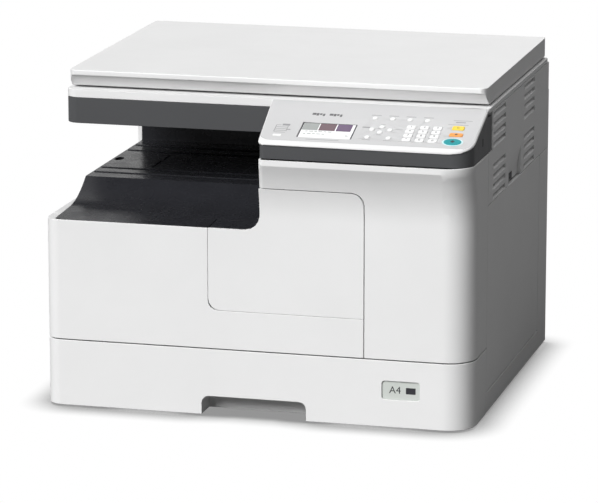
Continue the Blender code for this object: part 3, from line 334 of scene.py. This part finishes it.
def pad_sheet(name, tone):
    """A slightly quilted white sheet over foam."""
    material, tree, shader = blank_material(name)
    fibres = noise(tree, 0.0016, 4.0)
    tint(tree, shader, fibres, shaded(tone, 0.95), tone)
    gloss(tree, shader, fibres, 0.60, 0.78)
    shader.inputs["Sheen Weight"].default_value = 0.15
    grain_bump(tree, shader, fibres, 0.35, 0.00012)
    return material


def printed_ink(name, tone, roughness=0.45):
    """Ink with the slight unevenness of screen printing."""
    material, tree, shader = blank_material(name)
    cover = noise(tree, 0.0006, 2.0)
    tint(tree, shader, cover, shaded(tone, 0.94), tone)
    gloss(tree, shader, cover, roughness - 0.05, roughness + 0.05)
    return material


def lit_screen(name, tone, glow):
    """A lit area of the screen, behind its clear window, with the dots of the display."""
    material, tree, shader = blank_material(name)
    dots = noise(tree, 0.0004, 1.0)
    picture = blend(tree, spread(tree, dots, 0.0, 1.0), shaded(tone, 0.96), tone)
    tree.links.new(picture, shader.inputs["Base Color"])
    tree.links.new(picture, shader.inputs["Emission Color"])
    shader.inputs["Emission Strength"].default_value = glow
    shader.inputs["Roughness"].default_value = 0.18
    return material


def panel_film(name, tone, film_tone, groove_shade_tone, film):
    """White plastic with a printed film in the middle of the sloped face, bounded by a thin line of painted shade
    that stands for the groove round the film.

    film gives its middle, half sizes, corner radius, lean and the width of the painted groove shade, measured from
    the screen's middle.
    """
    material = moulded_plastic(name, tone)
    tree = material.node_tree
    shader = tree.nodes["Principled BSDF"]
    place = add(tree, "ShaderNodeMapping", vector_type="TEXTURE")
    place.inputs["Location"].default_value = panel_origin()
    place.inputs["Rotation"].default_value = (PANEL_SLOPE, 0.0, 0.0)
    tree.links.new(object_coordinates(tree), place.inputs["Vector"])
    axes = add(tree, "ShaderNodeSeparateXYZ")
    tree.links.new(place.outputs["Vector"], axes.inputs["Vector"])
    along, up, above = axes.outputs
    along = calculate(tree, "MULTIPLY_ADD", up, film["lean"], along)
    inside = []
    for socket, middle, half in zip((along, up), film["middle"], film["half"]):
        offset = calculate(tree, "ABSOLUTE", calculate(tree, "SUBTRACT", socket, middle))
        inside.append(calculate(tree, "SUBTRACT", offset, half - film["corner"]))
    corner_x, corner_y = (calculate(tree, "MAXIMUM", term, 0.0) for term in inside)
    squares = [calculate(tree, "MULTIPLY", term, term) for term in (corner_x, corner_y)]
    round_part = calculate(tree, "SQRT", calculate(tree, "ADD", *squares))
    straight_part = calculate(tree, "MINIMUM", calculate(tree, "MAXIMUM", *inside), 0.0)
    distance = calculate(tree, "SUBTRACT", calculate(tree, "ADD", round_part, straight_part), film["corner"])
    on_face = calculate(tree, "GREATER_THAN", above, -0.0004)
    on_film = calculate(tree, "MULTIPLY", calculate(tree, "LESS_THAN", distance, 0.0), on_face)
    # Painted shade: a thin grey band along the film's edge stands for the shade in its groove.
    near_groove_shade = calculate(tree, "LESS_THAN", calculate(tree, "ABSOLUTE", distance), film["line"])
    on_groove_shade = calculate(tree, "MULTIPLY", near_groove_shade, on_face)
    plain = shader.inputs["Base Color"].links[0].from_socket
    filmed = blend(tree, on_film, plain, film_tone)
    tree.links.new(blend(tree, on_groove_shade, filmed, groove_shade_tone), shader.inputs["Base Color"])
    return material


# Modelling helpers


def panel_origin():
    """The middle of the screen's opening, on the panel's face."""
    low, high = (Vector(corner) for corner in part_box("lcd_display"))
    sunk = 0.0019
    return (low + high) / 2 + Vector((0.0, -math.sin(PANEL_SLOPE), math.cos(PANEL_SLOPE))) * sunk


def on_panel(right, up, rise=0.0):
    """The place on the panel's face at a distance to the right of the screen's middle and up the slope."""
    turn = Matrix.Translation(panel_origin()) @ Matrix.Rotation(PANEL_SLOPE, 4, "X")
    return turn @ Matrix.Translation((right, up, rise))


def panel_coordinates(node):
    """A key's middle, to the right of the screen's middle and up the slope."""
    low, high = (Vector(corner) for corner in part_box(node))
    local = on_panel(0.0, 0.0).inverted() @ ((low + high) / 2)
    return local.x, local.y


def key_top(node):
    """How far a key's cap stands above the panel's face."""
    turn = on_panel(0.0, 0.0).inverted()
    return max((turn @ vertex.co).z for vertex in frame["nodes"][node].data.vertices)


def plate(width, height, thickness, radius=0.0):
    """A thin plate about the origin, with rounded corners, that stands up from its lower face."""
    mesh = bmesh.new()
    bmesh.ops.create_grid(mesh, x_segments=1, y_segments=1, size=0.5)
    bmesh.ops.scale(mesh, vec=(width, height, 1.0), verts=mesh.verts)
    if radius:
        bmesh.ops.bevel(
            mesh, geom=mesh.verts[:], offset=radius, segments=5, profile=0.5, affect="VERTICES", material=-1
        )
    raised = bmesh.ops.extrude_face_region(mesh, geom=mesh.faces[:], use_keep_orig=True)["geom"]
    top = [item for item in raised if isinstance(item, bmesh.types.BMVert)]
    bmesh.ops.translate(mesh, vec=(0.0, 0.0, thickness), verts=top)
    bmesh.ops.recalc_face_normals(mesh, faces=mesh.faces)
    return mesh


def oval(width, height, thickness, sides=40):
    """A thin oval plate about the origin."""
    mesh = bmesh.new()
    bmesh.ops.create_cone(
        mesh, cap_ends=True, segments=sides, radius1=0.5, radius2=0.5, depth=thickness,
        matrix=Matrix.Translation((0.0, 0.0, thickness / 2)),
    )
    bmesh.ops.scale(mesh, vec=(width, height, 1.0), verts=mesh.verts)
    return mesh


def lettering(text, height, thickness):
    """Letters about the origin, made from text."""
    curve = bpy.data.curves.new("lettering", "FONT")
    curve.body = text
    curve.size = height / 0.7
    curve.align_x = "CENTER"
    curve.align_y = "CENTER"
    curve.extrude = thickness / 2
    holder = bpy.data.objects.new("lettering", curve)
    bpy.context.scene.collection.objects.link(holder)
    graph = bpy.context.evaluated_depsgraph_get()
    data = bpy.data.meshes.new_from_object(holder.evaluated_get(graph))
    bpy.data.objects.remove(holder)
    mesh = bmesh.new()
    mesh.from_mesh(data)
    bpy.data.meshes.remove(data)
    bmesh.ops.translate(mesh, vec=(0.0, 0.0, thickness / 2), verts=mesh.verts)
    return mesh


def placed(mesh, matrix):
    bmesh.ops.transform(mesh, matrix=matrix, verts=mesh.verts)
    return mesh


def gathered(meshes):
    """Several shapes in one mesh."""
    whole = bmesh.new()
    for mesh in meshes:
        data = bpy.data.meshes.new("gathered")
        mesh.to_mesh(data)
        mesh.free()
        whole.from_mesh(data)
        bpy.data.meshes.remove(data)
    return whole


def piece(name, mesh, material, body, smooth_angle=SHARP_ANGLE):
    """Turns a mesh into a finished piece that rides on a body."""
    data = bpy.data.meshes.new(name)
    mesh.to_mesh(data)
    mesh.free()
    data.materials.append(material)
    data.shade_smooth()
    data.set_sharp_from_angle(angle=smooth_angle)
    item = bpy.data.objects.new(name, data)
    bpy.context.scene.collection.objects.link(item)
    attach(item, body)
    return item


def solid_copy(node, whole_faces=True):
    """A merged copy of a solid, with its flat faces whole unless they hold too many openings for that."""
    mesh = bmesh.new()
    mesh.from_mesh(frame["nodes"][node].data)
    bmesh.ops.remove_doubles(mesh, verts=mesh.verts, dist=MERGE)
    if whole_faces:
        bmesh.ops.dissolve_limit(
            mesh, angle_limit=FLAT_ANGLE, verts=mesh.verts, edges=mesh.edges, use_dissolve_boundaries=False
        )
    return mesh


def sharp_edges(mesh, limit=SHARP_ANGLE):
    return [edge for edge in mesh.edges if edge.is_manifold and edge.calc_face_angle(0.0) > limit]


def round_edges(mesh, width, segments=2, edges=None):
    """Rounds the sharp edges of a mesh, or those that are given."""
    edges = sharp_edges(mesh) if edges is None else edges
    bmesh.ops.bevel(
        mesh, geom=edges, offset=width, offset_type="OFFSET", segments=segments, profile=0.5, affect="EDGES",
        clamp_overlap=False, material=-1,
    )
    return mesh


def finished(node, mesh, material, smooth_angle=math.radians(50)):
    """The finished piece that stands for a solid, from its reworked mesh."""
    item = piece(node + "_finished", mesh, material, BODY_OF[node], smooth_angle)
    item.modifiers.new("even_shading", "WEIGHTED_NORMAL").keep_sharp = True
    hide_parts(node)
    return item


def dressed(node, material, width, segments=2):
    """A solid's own shape with rounded edges."""
    return finished(node, round_edges(solid_copy(node), width, segments), material)


def flat_front():
    """The depth of the body's flat front face."""
    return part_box("drawer_front")[0][1]


def slot_nodes(slot):
    return [node for node, name in SLOT_OF.items() if name == slot]


# Operators


class COPIER_OT_mouldings(bpy.types.Operator):
    """Finish the white covers, the door, the lid and the scanner's frame"""

    bl_idname = "copier.mouldings"
    bl_label = "White mouldings"

    def execute(self, context):
        white = moulded_plastic("white_moulding", colours().white)
        for node in slot_nodes("white_plastic"):
            if node not in ("panel_cover", "toner_cover", "front_right_cover", "lid_cover"):
                fine = node in ("right_cover", "rear_cover")
                dressed(node, white, sizes().small_edge if fine else sizes().moulding_edge, 3)
        self.toner_cover(white)
        self.right_moulding(white)
        self.paint_scoop_shadow()
        self.lid(white)
        return {"FINISHED"}

    def lid(self, white):
        """The lid, with the foot of its grip face set back a little further."""
        mesh = solid_copy("lid_cover")
        low, high = (Vector(corner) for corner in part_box("lid_cover"))
        middle = (low.z + high.z) / 2
        foot_start, foot_end = 0.0100, 0.0160
        for vertex in mesh.verts:
            if foot_start < vertex.co.y - low.y < foot_end and vertex.co.z < middle:
                vertex.co.y += sizes().grip_setback
        finished("lid_cover", round_edges(mesh, sizes().moulding_edge, 3), white)

    def paint_scoop_shadow(self):
        """A black sheet of painted shadow at the front of the finger scoop, on its inner wall, standing for the
        shade deep in the scoop.
        """
        scoop = next(item for item in RECORD["physics"]["openings"] if item["name"] == "door_grip")
        low, high = (Vector(corner) for corner in scoop["box_m"])
        size = high - low
        strip = plate(0.45 * size.y, 0.8 * size.z, sizes().print_depth, 0.001)
        turn = Matrix.Rotation(math.radians(90), 4, "Z") @ Matrix.Rotation(math.radians(90), 4, "X")
        place = Matrix.Translation((low.x, low.y + 0.3 * size.y, low.z + 0.5 * size.z))
        # Painted shadow: this black sheet stands for the shade inside the scoop, not for a part of the machine.
        painted_shadow_finish = rubber("scoop_shadow_paint", colours().black)
        piece("scoop_painted_shadow", placed(strip, place @ turn), painted_shadow_finish, "machine")

    def right_moulding(self, white):
        """The moulding that sweeps forward under the panel, with an even corner and a crisp lip."""
        node = "front_right_cover"
        mesh = solid_copy(node)
        side, _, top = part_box(node)[1]
        front = flat_front()
        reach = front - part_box(node)[0][1]
        radius = sizes().body_corner
        for vertex in mesh.verts:
            drop = top - sizes().lip_height - vertex.co.z
            climb = min(max(1 - drop / sizes().sweep_height, 0.0), 1.0)
            rise = min(max(1 - drop / sizes().cheek_height, 0.0), 1.0)
            proud = sizes().cheek_proud * math.sin(math.pi * rise)
            face = front - reach * climb * climb
            away = vertex.co.xy - Vector((side - radius, face + radius - proud))
            if away.x < 0 or abs(away.length - radius) > sizes().small_edge:
                continue
            first = math.acos(1 - proud / radius)
            turn = (math.atan2(away.x, -away.y) - first) / (math.radians(90) - first) * math.radians(90)
            vertex.co.x = side - radius * (1 - math.sin(turn))
            vertex.co.y = face + radius * (1 - math.cos(turn))
        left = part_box(node)[0][0]
        low_end = top - sizes().lip_height - sizes().sweep_height
        for vertex in mesh.verts:
            near_end = vertex.co.x - left < sizes().lip_end and vertex.co.z > low_end
            if near_end and vertex.co.y < front:
                vertex.co.x += sizes().lip_lean * (front - vertex.co.y)
        round_edges(mesh, sizes().moulding_edge, 3, sharp_edges(mesh, math.radians(24)))
        finished(node, mesh, white, math.radians(20))

    def toner_cover(self, white):
        """The hinged cover, in two mouldings: a white front, and a dark lip that continues the tray."""
        seam = flat_front() + sizes().cover_wall
        tray = tray_plastic("lip_moulding", colours().tray)
        halves = (("front", white, "white_plastic", 1), ("lip", tray, "tray_plastic", -1))
        for name, finish, slot, side in halves:
            mesh = solid_copy("toner_cover")
            geometry = mesh.verts[:] + mesh.edges[:] + mesh.faces[:]
            bmesh.ops.bisect_plane(
                mesh, geom=geometry, plane_co=(0.0, seam, 0.0), plane_no=(0.0, side, 0.0), clear_outer=True
            )
            bmesh.ops.holes_fill(mesh, edges=[edge for edge in mesh.edges if edge.is_boundary])
            bmesh.ops.recalc_face_normals(mesh, faces=mesh.faces)
            round_edges(mesh, sizes().small_edge)
            item = piece("toner_cover_" + name, mesh, finish, "toner_cover", math.radians(50))
            item.modifiers.new("even_shading", "WEIGHTED_NORMAL").keep_sharp = True
            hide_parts("toner_cover")


class COPIER_OT_bands(bpy.types.Operator):
    """Finish the dark bands, the output tray and the black inner pieces"""

    bl_idname = "copier.bands"
    bl_label = "Dark pieces"

    def execute(self, context):
        dark = moulded_plastic("dark_moulding", colours().dark, 0.46, specular=0.18)
        for node in slot_nodes("dark_plastic"):
            dressed(node, dark, sizes().moulding_edge)
        dressed("output_tray", tray_plastic("tray_moulding", colours().tray), sizes().small_edge)
        black = moulded_plastic("black_moulding", colours().black, 0.48)
        for node in slot_nodes("black_plastic"):
            dressed(node, black, sizes().small_edge)
        return {"FINISHED"}


class COPIER_OT_panel(bpy.types.Operator):
    """Finish the control panel with its printed film, and the screen with its picture"""

    bl_idname = "copier.panel"
    bl_label = "Control panel"

    film = {
        "middle": (0.0585, 0.0600),
        "half": (0.1450, 0.0903),
        "corner": 0.014,
        "lean": 0.10,
        # Width of the painted groove shade round the film.
        "line": 0.00025,
    }
    sketch = (-0.0620, -0.0010)
    lamp_marks = (
        (-0.0030, 0.0420, 0.0050, 0.0052),
        (0.0018, 0.0412, 0.0034, 0.0064),
        (0.0060, 0.0420, 0.0034, 0.0040),
        (0.0102, 0.0404, 0.0030, 0.0062),
    )

    def execute(self, context):
        tones = colours()
        face = panel_film("panel_moulding", tones.white, tones.overlay, tones.grey_ink_and_groove_shade, self.film)
        self.cover(face)
        self.screen()
        self.marks()
        return {"FINISHED"}

    def cover(self, face):
        """The panel's own moulding, rounded round its outside but not round its openings."""
        mesh = solid_copy("panel_cover", whole_faces=False)
        flat = on_panel(0.0, 0.0).inverted()
        margin = 0.0025
        openings = [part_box(node) for node in SLOT_OF if "_key" in node or node == "lcd_display"]
        rim = []
        for edge in sharp_edges(mesh):
            middle = (edge.verts[0].co + edge.verts[1].co) / 2
            on_top = max(abs((flat @ vertex.co).z) for vertex in edge.verts) < margin / 5
            near = any(
                all(low[axis] - margin < middle[axis] < high[axis] + margin for axis in (0, 1))
                for low, high in openings
            )
            if on_top and not near:
                rim.append(edge)
        finished("panel_cover", round_edges(mesh, sizes().panel_rim, 4, rim), face)

    def screen(self):
        """The lit screen, its dark surround and the blocks and lines that it shows."""
        tones = colours()
        low, high = (Vector(corner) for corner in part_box("lcd_display"))
        wide = high.x - low.x
        high_up = (high.y - low.y) / math.cos(PANEL_SLOPE) - 0.0026 * math.tan(PANEL_SLOPE)
        dressed("lcd_display", lit_screen("screen_white", tones.screen, 0.10), sizes().small_edge)
        face = -0.0006
        thin = sizes().print_depth
        frame_bars = [
            (-wide / 2 + 0.0008, 0.0, 0.0016, high_up),
            (wide / 2 - 0.0009, 0.0, 0.0018, high_up),
            (0.0, high_up / 2 - 0.0007, wide, 0.0014),
        ]
        surround = [placed(plate(w, h, thin), on_panel(u, v, face)) for u, v, w, h in frame_bars]
        ink = printed_ink("screen_surround", tones.ink)
        piece("screen_surround", gathered(surround), ink, "machine")
        block_top = high_up / 2 - 0.0014
        block_high = 0.46 * high_up
        blocks = {"grey": (-0.330, 0.290), "plum": (-0.0175, 0.300), "purple": (0.2875, 0.270)}
        finishes = {
            "grey": lit_screen("screen_grey", tones.screen_grey, 0.02),
            "plum": lit_screen("screen_plum", tones.screen_plum, 0.02),
            "purple": lit_screen("screen_purple", tones.screen_purple, 0.02),
        }
        for name, (middle, width) in blocks.items():
            place = on_panel(middle * wide, block_top - block_high / 2, face)
            block = placed(plate(width * wide, block_high, thin), place)
            piece("screen_" + name, block, finishes[name], "machine")
        words = []
        for row, count in enumerate((6, 5)):
            for number in range(count):
                across = -0.0270 + 0.0062 * number - 0.0016 * row
                words.append((across, -0.0028 - 0.0062 * row, 0.0036 + 0.0016 * (number % 2), 0.0017))
        words += [(0.0270, -0.0085, 0.0024, 0.0016), (0.0285, -0.0125, 0.0034, 0.0014)]
        lines = [placed(plate(w, h, thin), on_panel(u, v, face)) for u, v, w, h in words]
        piece("screen_words", gathered(lines), finishes["grey"], "machine")

    def marks(self):
        """Printed bars beside the keys, the two lamps above the screen and the small sketch at the left."""
        tones = colours()
        thin = sizes().print_depth
        grey = []
        for number in range(4):
            right, up = panel_coordinates(f"function_key_{number + 1}")
            grey.append((right, up + 0.0078, 0.0130, 0.0012))
        for name in ("up", "down"):
            right, up = panel_coordinates(f"cursor_key_{name}")
            grey.append((right, up + (0.0068 if name == "up" else -0.0066), 0.0060, 0.0010))
        for number in (1, 2):
            right, up = panel_coordinates(f"mode_key_{number}")
            grey.append((right, up - 0.0066, 0.0110, 0.0010))
        right, up = panel_coordinates("clear_key")
        grey += [(right + 0.0020, up + 0.0200, 0.0250, 0.0010), (right, up + 0.0155, 0.0130, 0.0022)]
        grey += [(right - 0.0020, up + 0.0088, 0.0270, 0.0010)]
        right, up = panel_coordinates("cursor_key_left")
        grey += [(right - 0.0085, up + 0.0045, 0.0100, 0.0026)]
        right, up = panel_coordinates("cursor_key_right")
        grey += [(right + 0.0110, up + 0.0025, 0.0110, 0.0008)]
        left, low = self.sketch
        grey += [(left + 0.0052, low + 0.0110, 0.0100, 0.0046), (left - 0.0040, low + 0.0098, 0.0060, 0.0010)]
        grey += [(left - 0.0075, low + 0.0010, 0.0009, 0.0180), (left + 0.0085, low + 0.0010, 0.0009, 0.0140)]
        grey += [(left + 0.0005, low + 0.0048 - 0.0046 * row, 0.0150, 0.0010) for row in range(4)]
        grey += [(left + 0.0110, low - 0.0010, 0.0050, 0.0022)]
        grey += [(-0.0010, -0.0248, 0.0440, 0.0009)]
        bars = [placed(plate(w, h, thin, 0.0003), on_panel(u, v)) for u, v, w, h in grey]
        piece("panel_bars", gathered(bars), printed_ink("grey_print", tones.grey_ink_and_groove_shade), "machine")
        lamps = []
        for right in (-0.0240, -0.0010):
            for across, up, width, height in self.lamp_marks:
                lamps.append(placed(plate(width, height, thin, 0.0006), on_panel(right + across, up)))
        dark = printed_ink("dark_print", tones.lamp_ink)
        piece("panel_lamps", gathered(lamps), dark, "machine")
        patch = placed(plate(0.0110, 0.0050, thin, 0.0012), on_panel(left - 0.0010, low - 0.0165))
        piece("panel_patch", patch, printed_ink("white_print", tones.key), "machine")
        ring = placed(oval(0.0278, 0.0196, thin), on_panel(*panel_coordinates("start_key")))
        piece("start_ring", ring, printed_ink("ring_print", tones.start_ring), "machine")


class COPIER_OT_keys(bpy.types.Operator):
    """Finish the keys and print their marks"""

    bl_idname = "copier.keys"
    bl_label = "Keys"

    signs = {"star": "*", "hash": "#"}

    def execute(self, context):
        tones = colours()
        finishes = {
            "key_white": moulded_plastic("white_key", tones.key, 0.40),
            "key_yellow": moulded_plastic("yellow_key", tones.clear_key, 0.40),
            "key_orange": moulded_plastic("orange_key", tones.stop_key, 0.40),
            "key_green": moulded_plastic("green_key", tones.start_key, 0.28),
        }
        ink = printed_ink("key_print", tones.ink)
        for slot, finish in finishes.items():
            for node in slot_nodes(slot):
                dressed(node, finish, sizes().small_edge)
                mark = self.mark(node)
                if mark:
                    place = on_panel(*panel_coordinates(node), key_top(node))
                    piece(node + "_print", placed(mark, place), ink, BODY_OF[node])
        return {"FINISHED"}

    def mark(self, node):
        """The print on a key's cap, drawn about the origin."""
        thin = sizes().print_depth
        tall = sizes().digit_height
        if node.startswith("number_key_"):
            name = node.removeprefix("number_key_")
            return lettering(self.signs.get(name, name), tall, thin)
        if node == "clear_key":
            return lettering("C", tall, thin)
        if node == "stop_key":
            return placed(plate(0.0030, 0.0030, thin), Matrix.Rotation(math.radians(45), 4, "Z"))
        if node == "start_key":
            return placed(plate(0.0046, 0.0046, thin), Matrix.Rotation(math.radians(45), 4, "Z"))
        return None


class COPIER_OT_drawer(bpy.types.Operator):
    """Finish the paper drawer's bin and guides, and put the size card in its window"""

    bl_idname = "copier.drawer"
    bl_label = "Paper drawer"

    window = {"left": 0.119, "right": 0.068, "low": 0.037, "high": 0.062}

    def execute(self, context):
        tones = colours()
        pale = moulded_plastic("pale_moulding", tones.pale, 0.5)
        for node in slot_nodes("pale_plastic"):
            dressed(node, pale, sizes().small_edge)
        self.card()
        return {"FINISHED"}

    def card(self):
        """The size card, with a page drawn on it."""
        tones = colours()
        front, back = (Vector(corner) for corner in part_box("drawer_front"))
        thin = sizes().print_depth
        stock = 0.0006
        left, right = back.x - self.window["left"], back.x - self.window["right"]
        low, high = front.z + self.window["low"], front.z + self.window["high"]
        face = Matrix.Translation(((left + right) / 2, front.y + sizes().card_setback, (low + high) / 2))
        face = face @ Matrix.Rotation(math.radians(90), 4, "X")
        card = plate(right - left - stock, high - low - stock, stock, 0.0038)
        card = placed(card, face @ Matrix.Translation((0.0, 0.0, -stock)))
        piece("size_card", card, printed_ink("card_stock", tones.card, 0.35), "drawer")
        words = placed(lettering("A4", 0.0095, thin), face @ Matrix.Translation((-0.0080, 0.0, 0.0)))
        page = placed(plate(0.0130, 0.0085, thin, 0.0006), face @ Matrix.Translation((0.0130, 0.0, 0.0)))
        ink = printed_ink("card_print", tones.ink)
        piece("size_print", gathered([words, page]), ink, "drawer")


class COPIER_OT_engine(bpy.types.Operator):
    """Finish the steel frame, the rollers, the hinges and the mains socket's pins"""

    bl_idname = "copier.engine"
    bl_label = "Inner pieces"

    def execute(self, context):
        tones = colours()
        steel = sheet_metal("plated_steel", tones.steel)
        for node in slot_nodes("sheet_steel"):
            dressed(node, steel, sizes().small_edge)
        dressed("drum", coated_tube("drum_coat", tones.drum, 0.16), sizes().small_edge)
        dressed("fuser_roller", coated_tube("fuser_coat", tones.fuser, 0.30), sizes().small_edge)
        soft = rubber("ground_rubber", tones.rubber)
        for node in slot_nodes("roller_rubber"):
            dressed(node, soft, sizes().small_edge)
        self.pins(steel)
        return {"FINISHED"}

    def pins(self, steel):
        """Three flat pins inside the mains socket."""
        low, high = (Vector(corner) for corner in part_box("power_inlet"))
        middle = (low + high) / 2
        pin_setback = 0.0030
        pins = []
        for across, up in ((-0.007, -0.002), (0.0, 0.002), (0.007, -0.002)):
            pin = plate(0.0020, 0.0040, 0.0115, 0.0006)
            place = Matrix.Translation((middle.x + across, high.y - pin_setback, middle.z + up))
            pins.append(placed(pin, place @ Matrix.Rotation(math.radians(90), 4, "X")))
        piece("socket_pins", gathered(pins), steel, "machine")


class COPIER_OT_platen(bpy.types.Operator):
    """Finish the glass and the soft pad that presses the page on it"""

    bl_idname = "copier.platen"
    bl_label = "Platen"

    def execute(self, context):
        dressed("platen_glass", clear_glass("float_glass"), sizes().small_edge)
        low, high = (Vector(corner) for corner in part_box("platen_pad"))
        size = high - low
        crown = sizes().pad_crown
        mesh = plate(size.x - 2 * crown, size.y - 2 * crown, size.z - crown, 0.005)
        middle = (low + high) / 2
        bmesh.ops.translate(mesh, vec=(middle.x, middle.y, low.z + crown), verts=mesh.verts)
        bmesh.ops.subdivide_edges(mesh, edges=mesh.edges[:], cuts=1, use_grid_fill=True)
        pad = piece("platen_pad_sheet", mesh, pad_sheet("pad_sheet", colours().pad), "lid")
        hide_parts("platen_pad")
        return {"FINISHED"}


class COPIER_OT_stage(bpy.types.Operator):
    """Set the floor, the lamps, the surround and the camera"""

    bl_idname = "copier.stage"
    bl_label = "Studio stage"

    dark_screens = (
        ("low_screen", 9.0, 0.65, (-3.0, 3.4, 0.45)),
        ("high_screen", 2.4, 2.0, (-1.9, 3.4, 2.6)),
    )

    def execute(self, context):
        settings = stage_settings()
        context.scene.view_settings.view_transform = "Standard"
        self.floor(settings)
        self.surround(settings)
        self.lamp(settings)
        self.screens()
        self.camera(settings)
        return {"FINISHED"}

    def floor(self, settings):
        """A pale floor that stays white apart from the machine's contact shadow."""
        mesh = bmesh.new()
        bmesh.ops.create_circle(mesh, cap_ends=True, segments=64, radius=12.0)
        data = bpy.data.meshes.new("floor")
        mesh.to_mesh(data)
        mesh.free()
        item = bpy.data.objects.new("floor", data)
        bpy.context.scene.collection.objects.link(item)
        material = bpy.data.materials.new("floor_paint")
        material.use_nodes = True
        tree = material.node_tree
        tree.nodes.clear()
        output = add(tree, "ShaderNodeOutputMaterial")
        paint = add(tree, "ShaderNodeBsdfDiffuse", Color=(0.19, 0.19, 0.19, 1.0))
        white = add(tree, "ShaderNodeEmission", Color=(1.0, 1.0, 1.0, 1.0))
        corner = add(tree, "ShaderNodeAmbientOcclusion", samples=16, Distance=settings.shadow_reach)
        shade = add(tree, "ShaderNodeMapRange", From_Min=0.45, From_Max=0.99, To_Min=0.30, To_Max=1.0)
        tree.links.new(corner.outputs["AO"], shade.inputs["Value"])
        tree.links.new(shade.outputs["Result"], white.inputs["Strength"])
        rays = add(tree, "ShaderNodeLightPath")
        chosen = add(tree, "ShaderNodeMixShader")
        tree.links.new(rays.outputs["Is Camera Ray"], chosen.inputs[0])
        tree.links.new(paint.outputs[0], chosen.inputs[1])
        tree.links.new(white.outputs[0], chosen.inputs[2])
        tree.links.new(chosen.outputs[0], output.inputs["Surface"])
        data.materials.append(material)

    def surround(self, settings):
        """White to the camera, in gloss and through glass, and a low light that grows overhead otherwise."""
        world = bpy.data.worlds.new("studio")
        world.use_nodes = True
        tree = world.node_tree
        background = tree.nodes["Background"]
        background.inputs["Color"].default_value = (1.0, 1.0, 1.0, 1.0)
        rays = add(tree, "ShaderNodeLightPath")
        seen = calculate(tree, "MAXIMUM", rays.outputs["Is Camera Ray"], rays.outputs["Is Glossy Ray"])
        seen = calculate(tree, "MAXIMUM", seen, rays.outputs["Is Transmission Ray"])
        axes = add(tree, "ShaderNodeSeparateXYZ")
        tree.links.new(add(tree, "ShaderNodeTexCoord").outputs["Generated"], axes.inputs["Vector"])
        upwards = calculate(tree, "MAXIMUM", axes.outputs["Z"], 0.0)
        squared = calculate(tree, "POWER", upwards, 2.0)
        dome = calculate(tree, "MULTIPLY_ADD", squared, settings.overhead, settings.surround)
        strength = add(tree, "ShaderNodeMix", data_type="FLOAT", B=1.0)
        tree.links.new(seen, strength.inputs["Factor"])
        tree.links.new(dome, strength.inputs["A"])
        tree.links.new(strength.outputs["Result"], background.inputs["Strength"])
        bpy.context.scene.world = world

    def lamp(self, settings):
        """A wide, distant key lamp from the front left, and a weaker one from high behind."""
        lamps = (
            ("key_lamp", settings.key_strength, settings.key_height, settings.key_turn),
            ("back_lamp", settings.back_strength, settings.back_height, settings.back_turn),
        )
        for name, strength, height, turn in lamps:
            light = bpy.data.lights.new(name, "SUN")
            light.energy = strength
            light.angle = settings.key_softness
            item = bpy.data.objects.new(name, light)
            bpy.context.scene.collection.objects.link(item)
            item.location = (0.0, 0.0, 3.0)
            item.visible_glossy = False
            item.rotation_euler = (math.radians(90) - height, 0.0, -turn)

    def screens(self):
        """Two dark screens behind the machine, out of the picture, for the tray's gloss to show."""
        cloth = moulded_plastic("dark_screen_cloth", (0.03, 0.03, 0.03), 0.8)
        for name, width, height, place in self.dark_screens:
            mesh = bmesh.new()
            bmesh.ops.create_grid(mesh, x_segments=1, y_segments=1, size=0.5)
            bmesh.ops.scale(mesh, vec=(width, height, 1.0), verts=mesh.verts)
            bmesh.ops.rotate(mesh, matrix=Matrix.Rotation(math.radians(90), 3, "X"), verts=mesh.verts)
            bmesh.ops.translate(mesh, vec=place, verts=mesh.verts)
            data = bpy.data.meshes.new(name)
            mesh.to_mesh(data)
            mesh.free()
            data.materials.append(cloth)
            item = bpy.data.objects.new(name, data)
            item.visible_camera = False
            bpy.context.scene.collection.objects.link(item)

    def camera(self, settings):
        """A long lens from the front right, a little above the machine."""
        data = bpy.data.cameras.new("camera")
        data.lens = settings.lens
        data.sensor_width = 36.0
        item = bpy.data.objects.new("camera", data)
        bpy.context.scene.collection.objects.link(item)
        item.location = (settings.distance_x, settings.distance_y, settings.height)
        item.rotation_euler = (math.radians(90) - settings.tilt, 0.0, settings.turn)
        bpy.context.scene.camera = item


STEPS = (
    COPIER_OT_mouldings,
    COPIER_OT_bands,
    COPIER_OT_panel,
    COPIER_OT_keys,
    COPIER_OT_drawer,
    COPIER_OT_engine,
    COPIER_OT_platen,
    COPIER_OT_stage,
)


class COPIER_PT_finish(bpy.types.Panel):
    """Lists the steps that finish the copier"""

    bl_idname = "COPIER_PT_finish"
    bl_label = "Copier"
    bl_space_type = "VIEW_3D"
    bl_region_type = "UI"
    bl_category = "Copier"

    def draw(self, context):
        for step in STEPS:
            self.layout.operator(step.bl_idname)
        for group in (context.scene.copier_sizes, context.scene.copier_colours, context.scene.copier_stage):
            box = self.layout.box()
            for name in group.__annotations__:
                box.prop(group, name)


CLASSES = (CopierSizes, CopierColours, CopierStage, *STEPS, COPIER_PT_finish)


def register():
    for item in CLASSES:
        bpy.utils.register_class(item)
    bpy.types.Scene.copier_sizes = PointerProperty(type=CopierSizes)
    bpy.types.Scene.copier_colours = PointerProperty(type=CopierColours)
    bpy.types.Scene.copier_stage = PointerProperty(type=CopierStage)


def unregister():
    del bpy.types.Scene.copier_stage
    del bpy.types.Scene.copier_colours
    del bpy.types.Scene.copier_sizes
    for item in reversed(CLASSES):
        bpy.utils.unregister_class(item)


def main():
    register()
    bpy.ops.copier.mouldings()
    bpy.ops.copier.bands()
    bpy.ops.copier.panel()
    bpy.ops.copier.keys()
    bpy.ops.copier.drawer()
    bpy.ops.copier.engine()
    bpy.ops.copier.platen()
    bpy.ops.copier.stage()


if __name__ == "__main__":
    main()
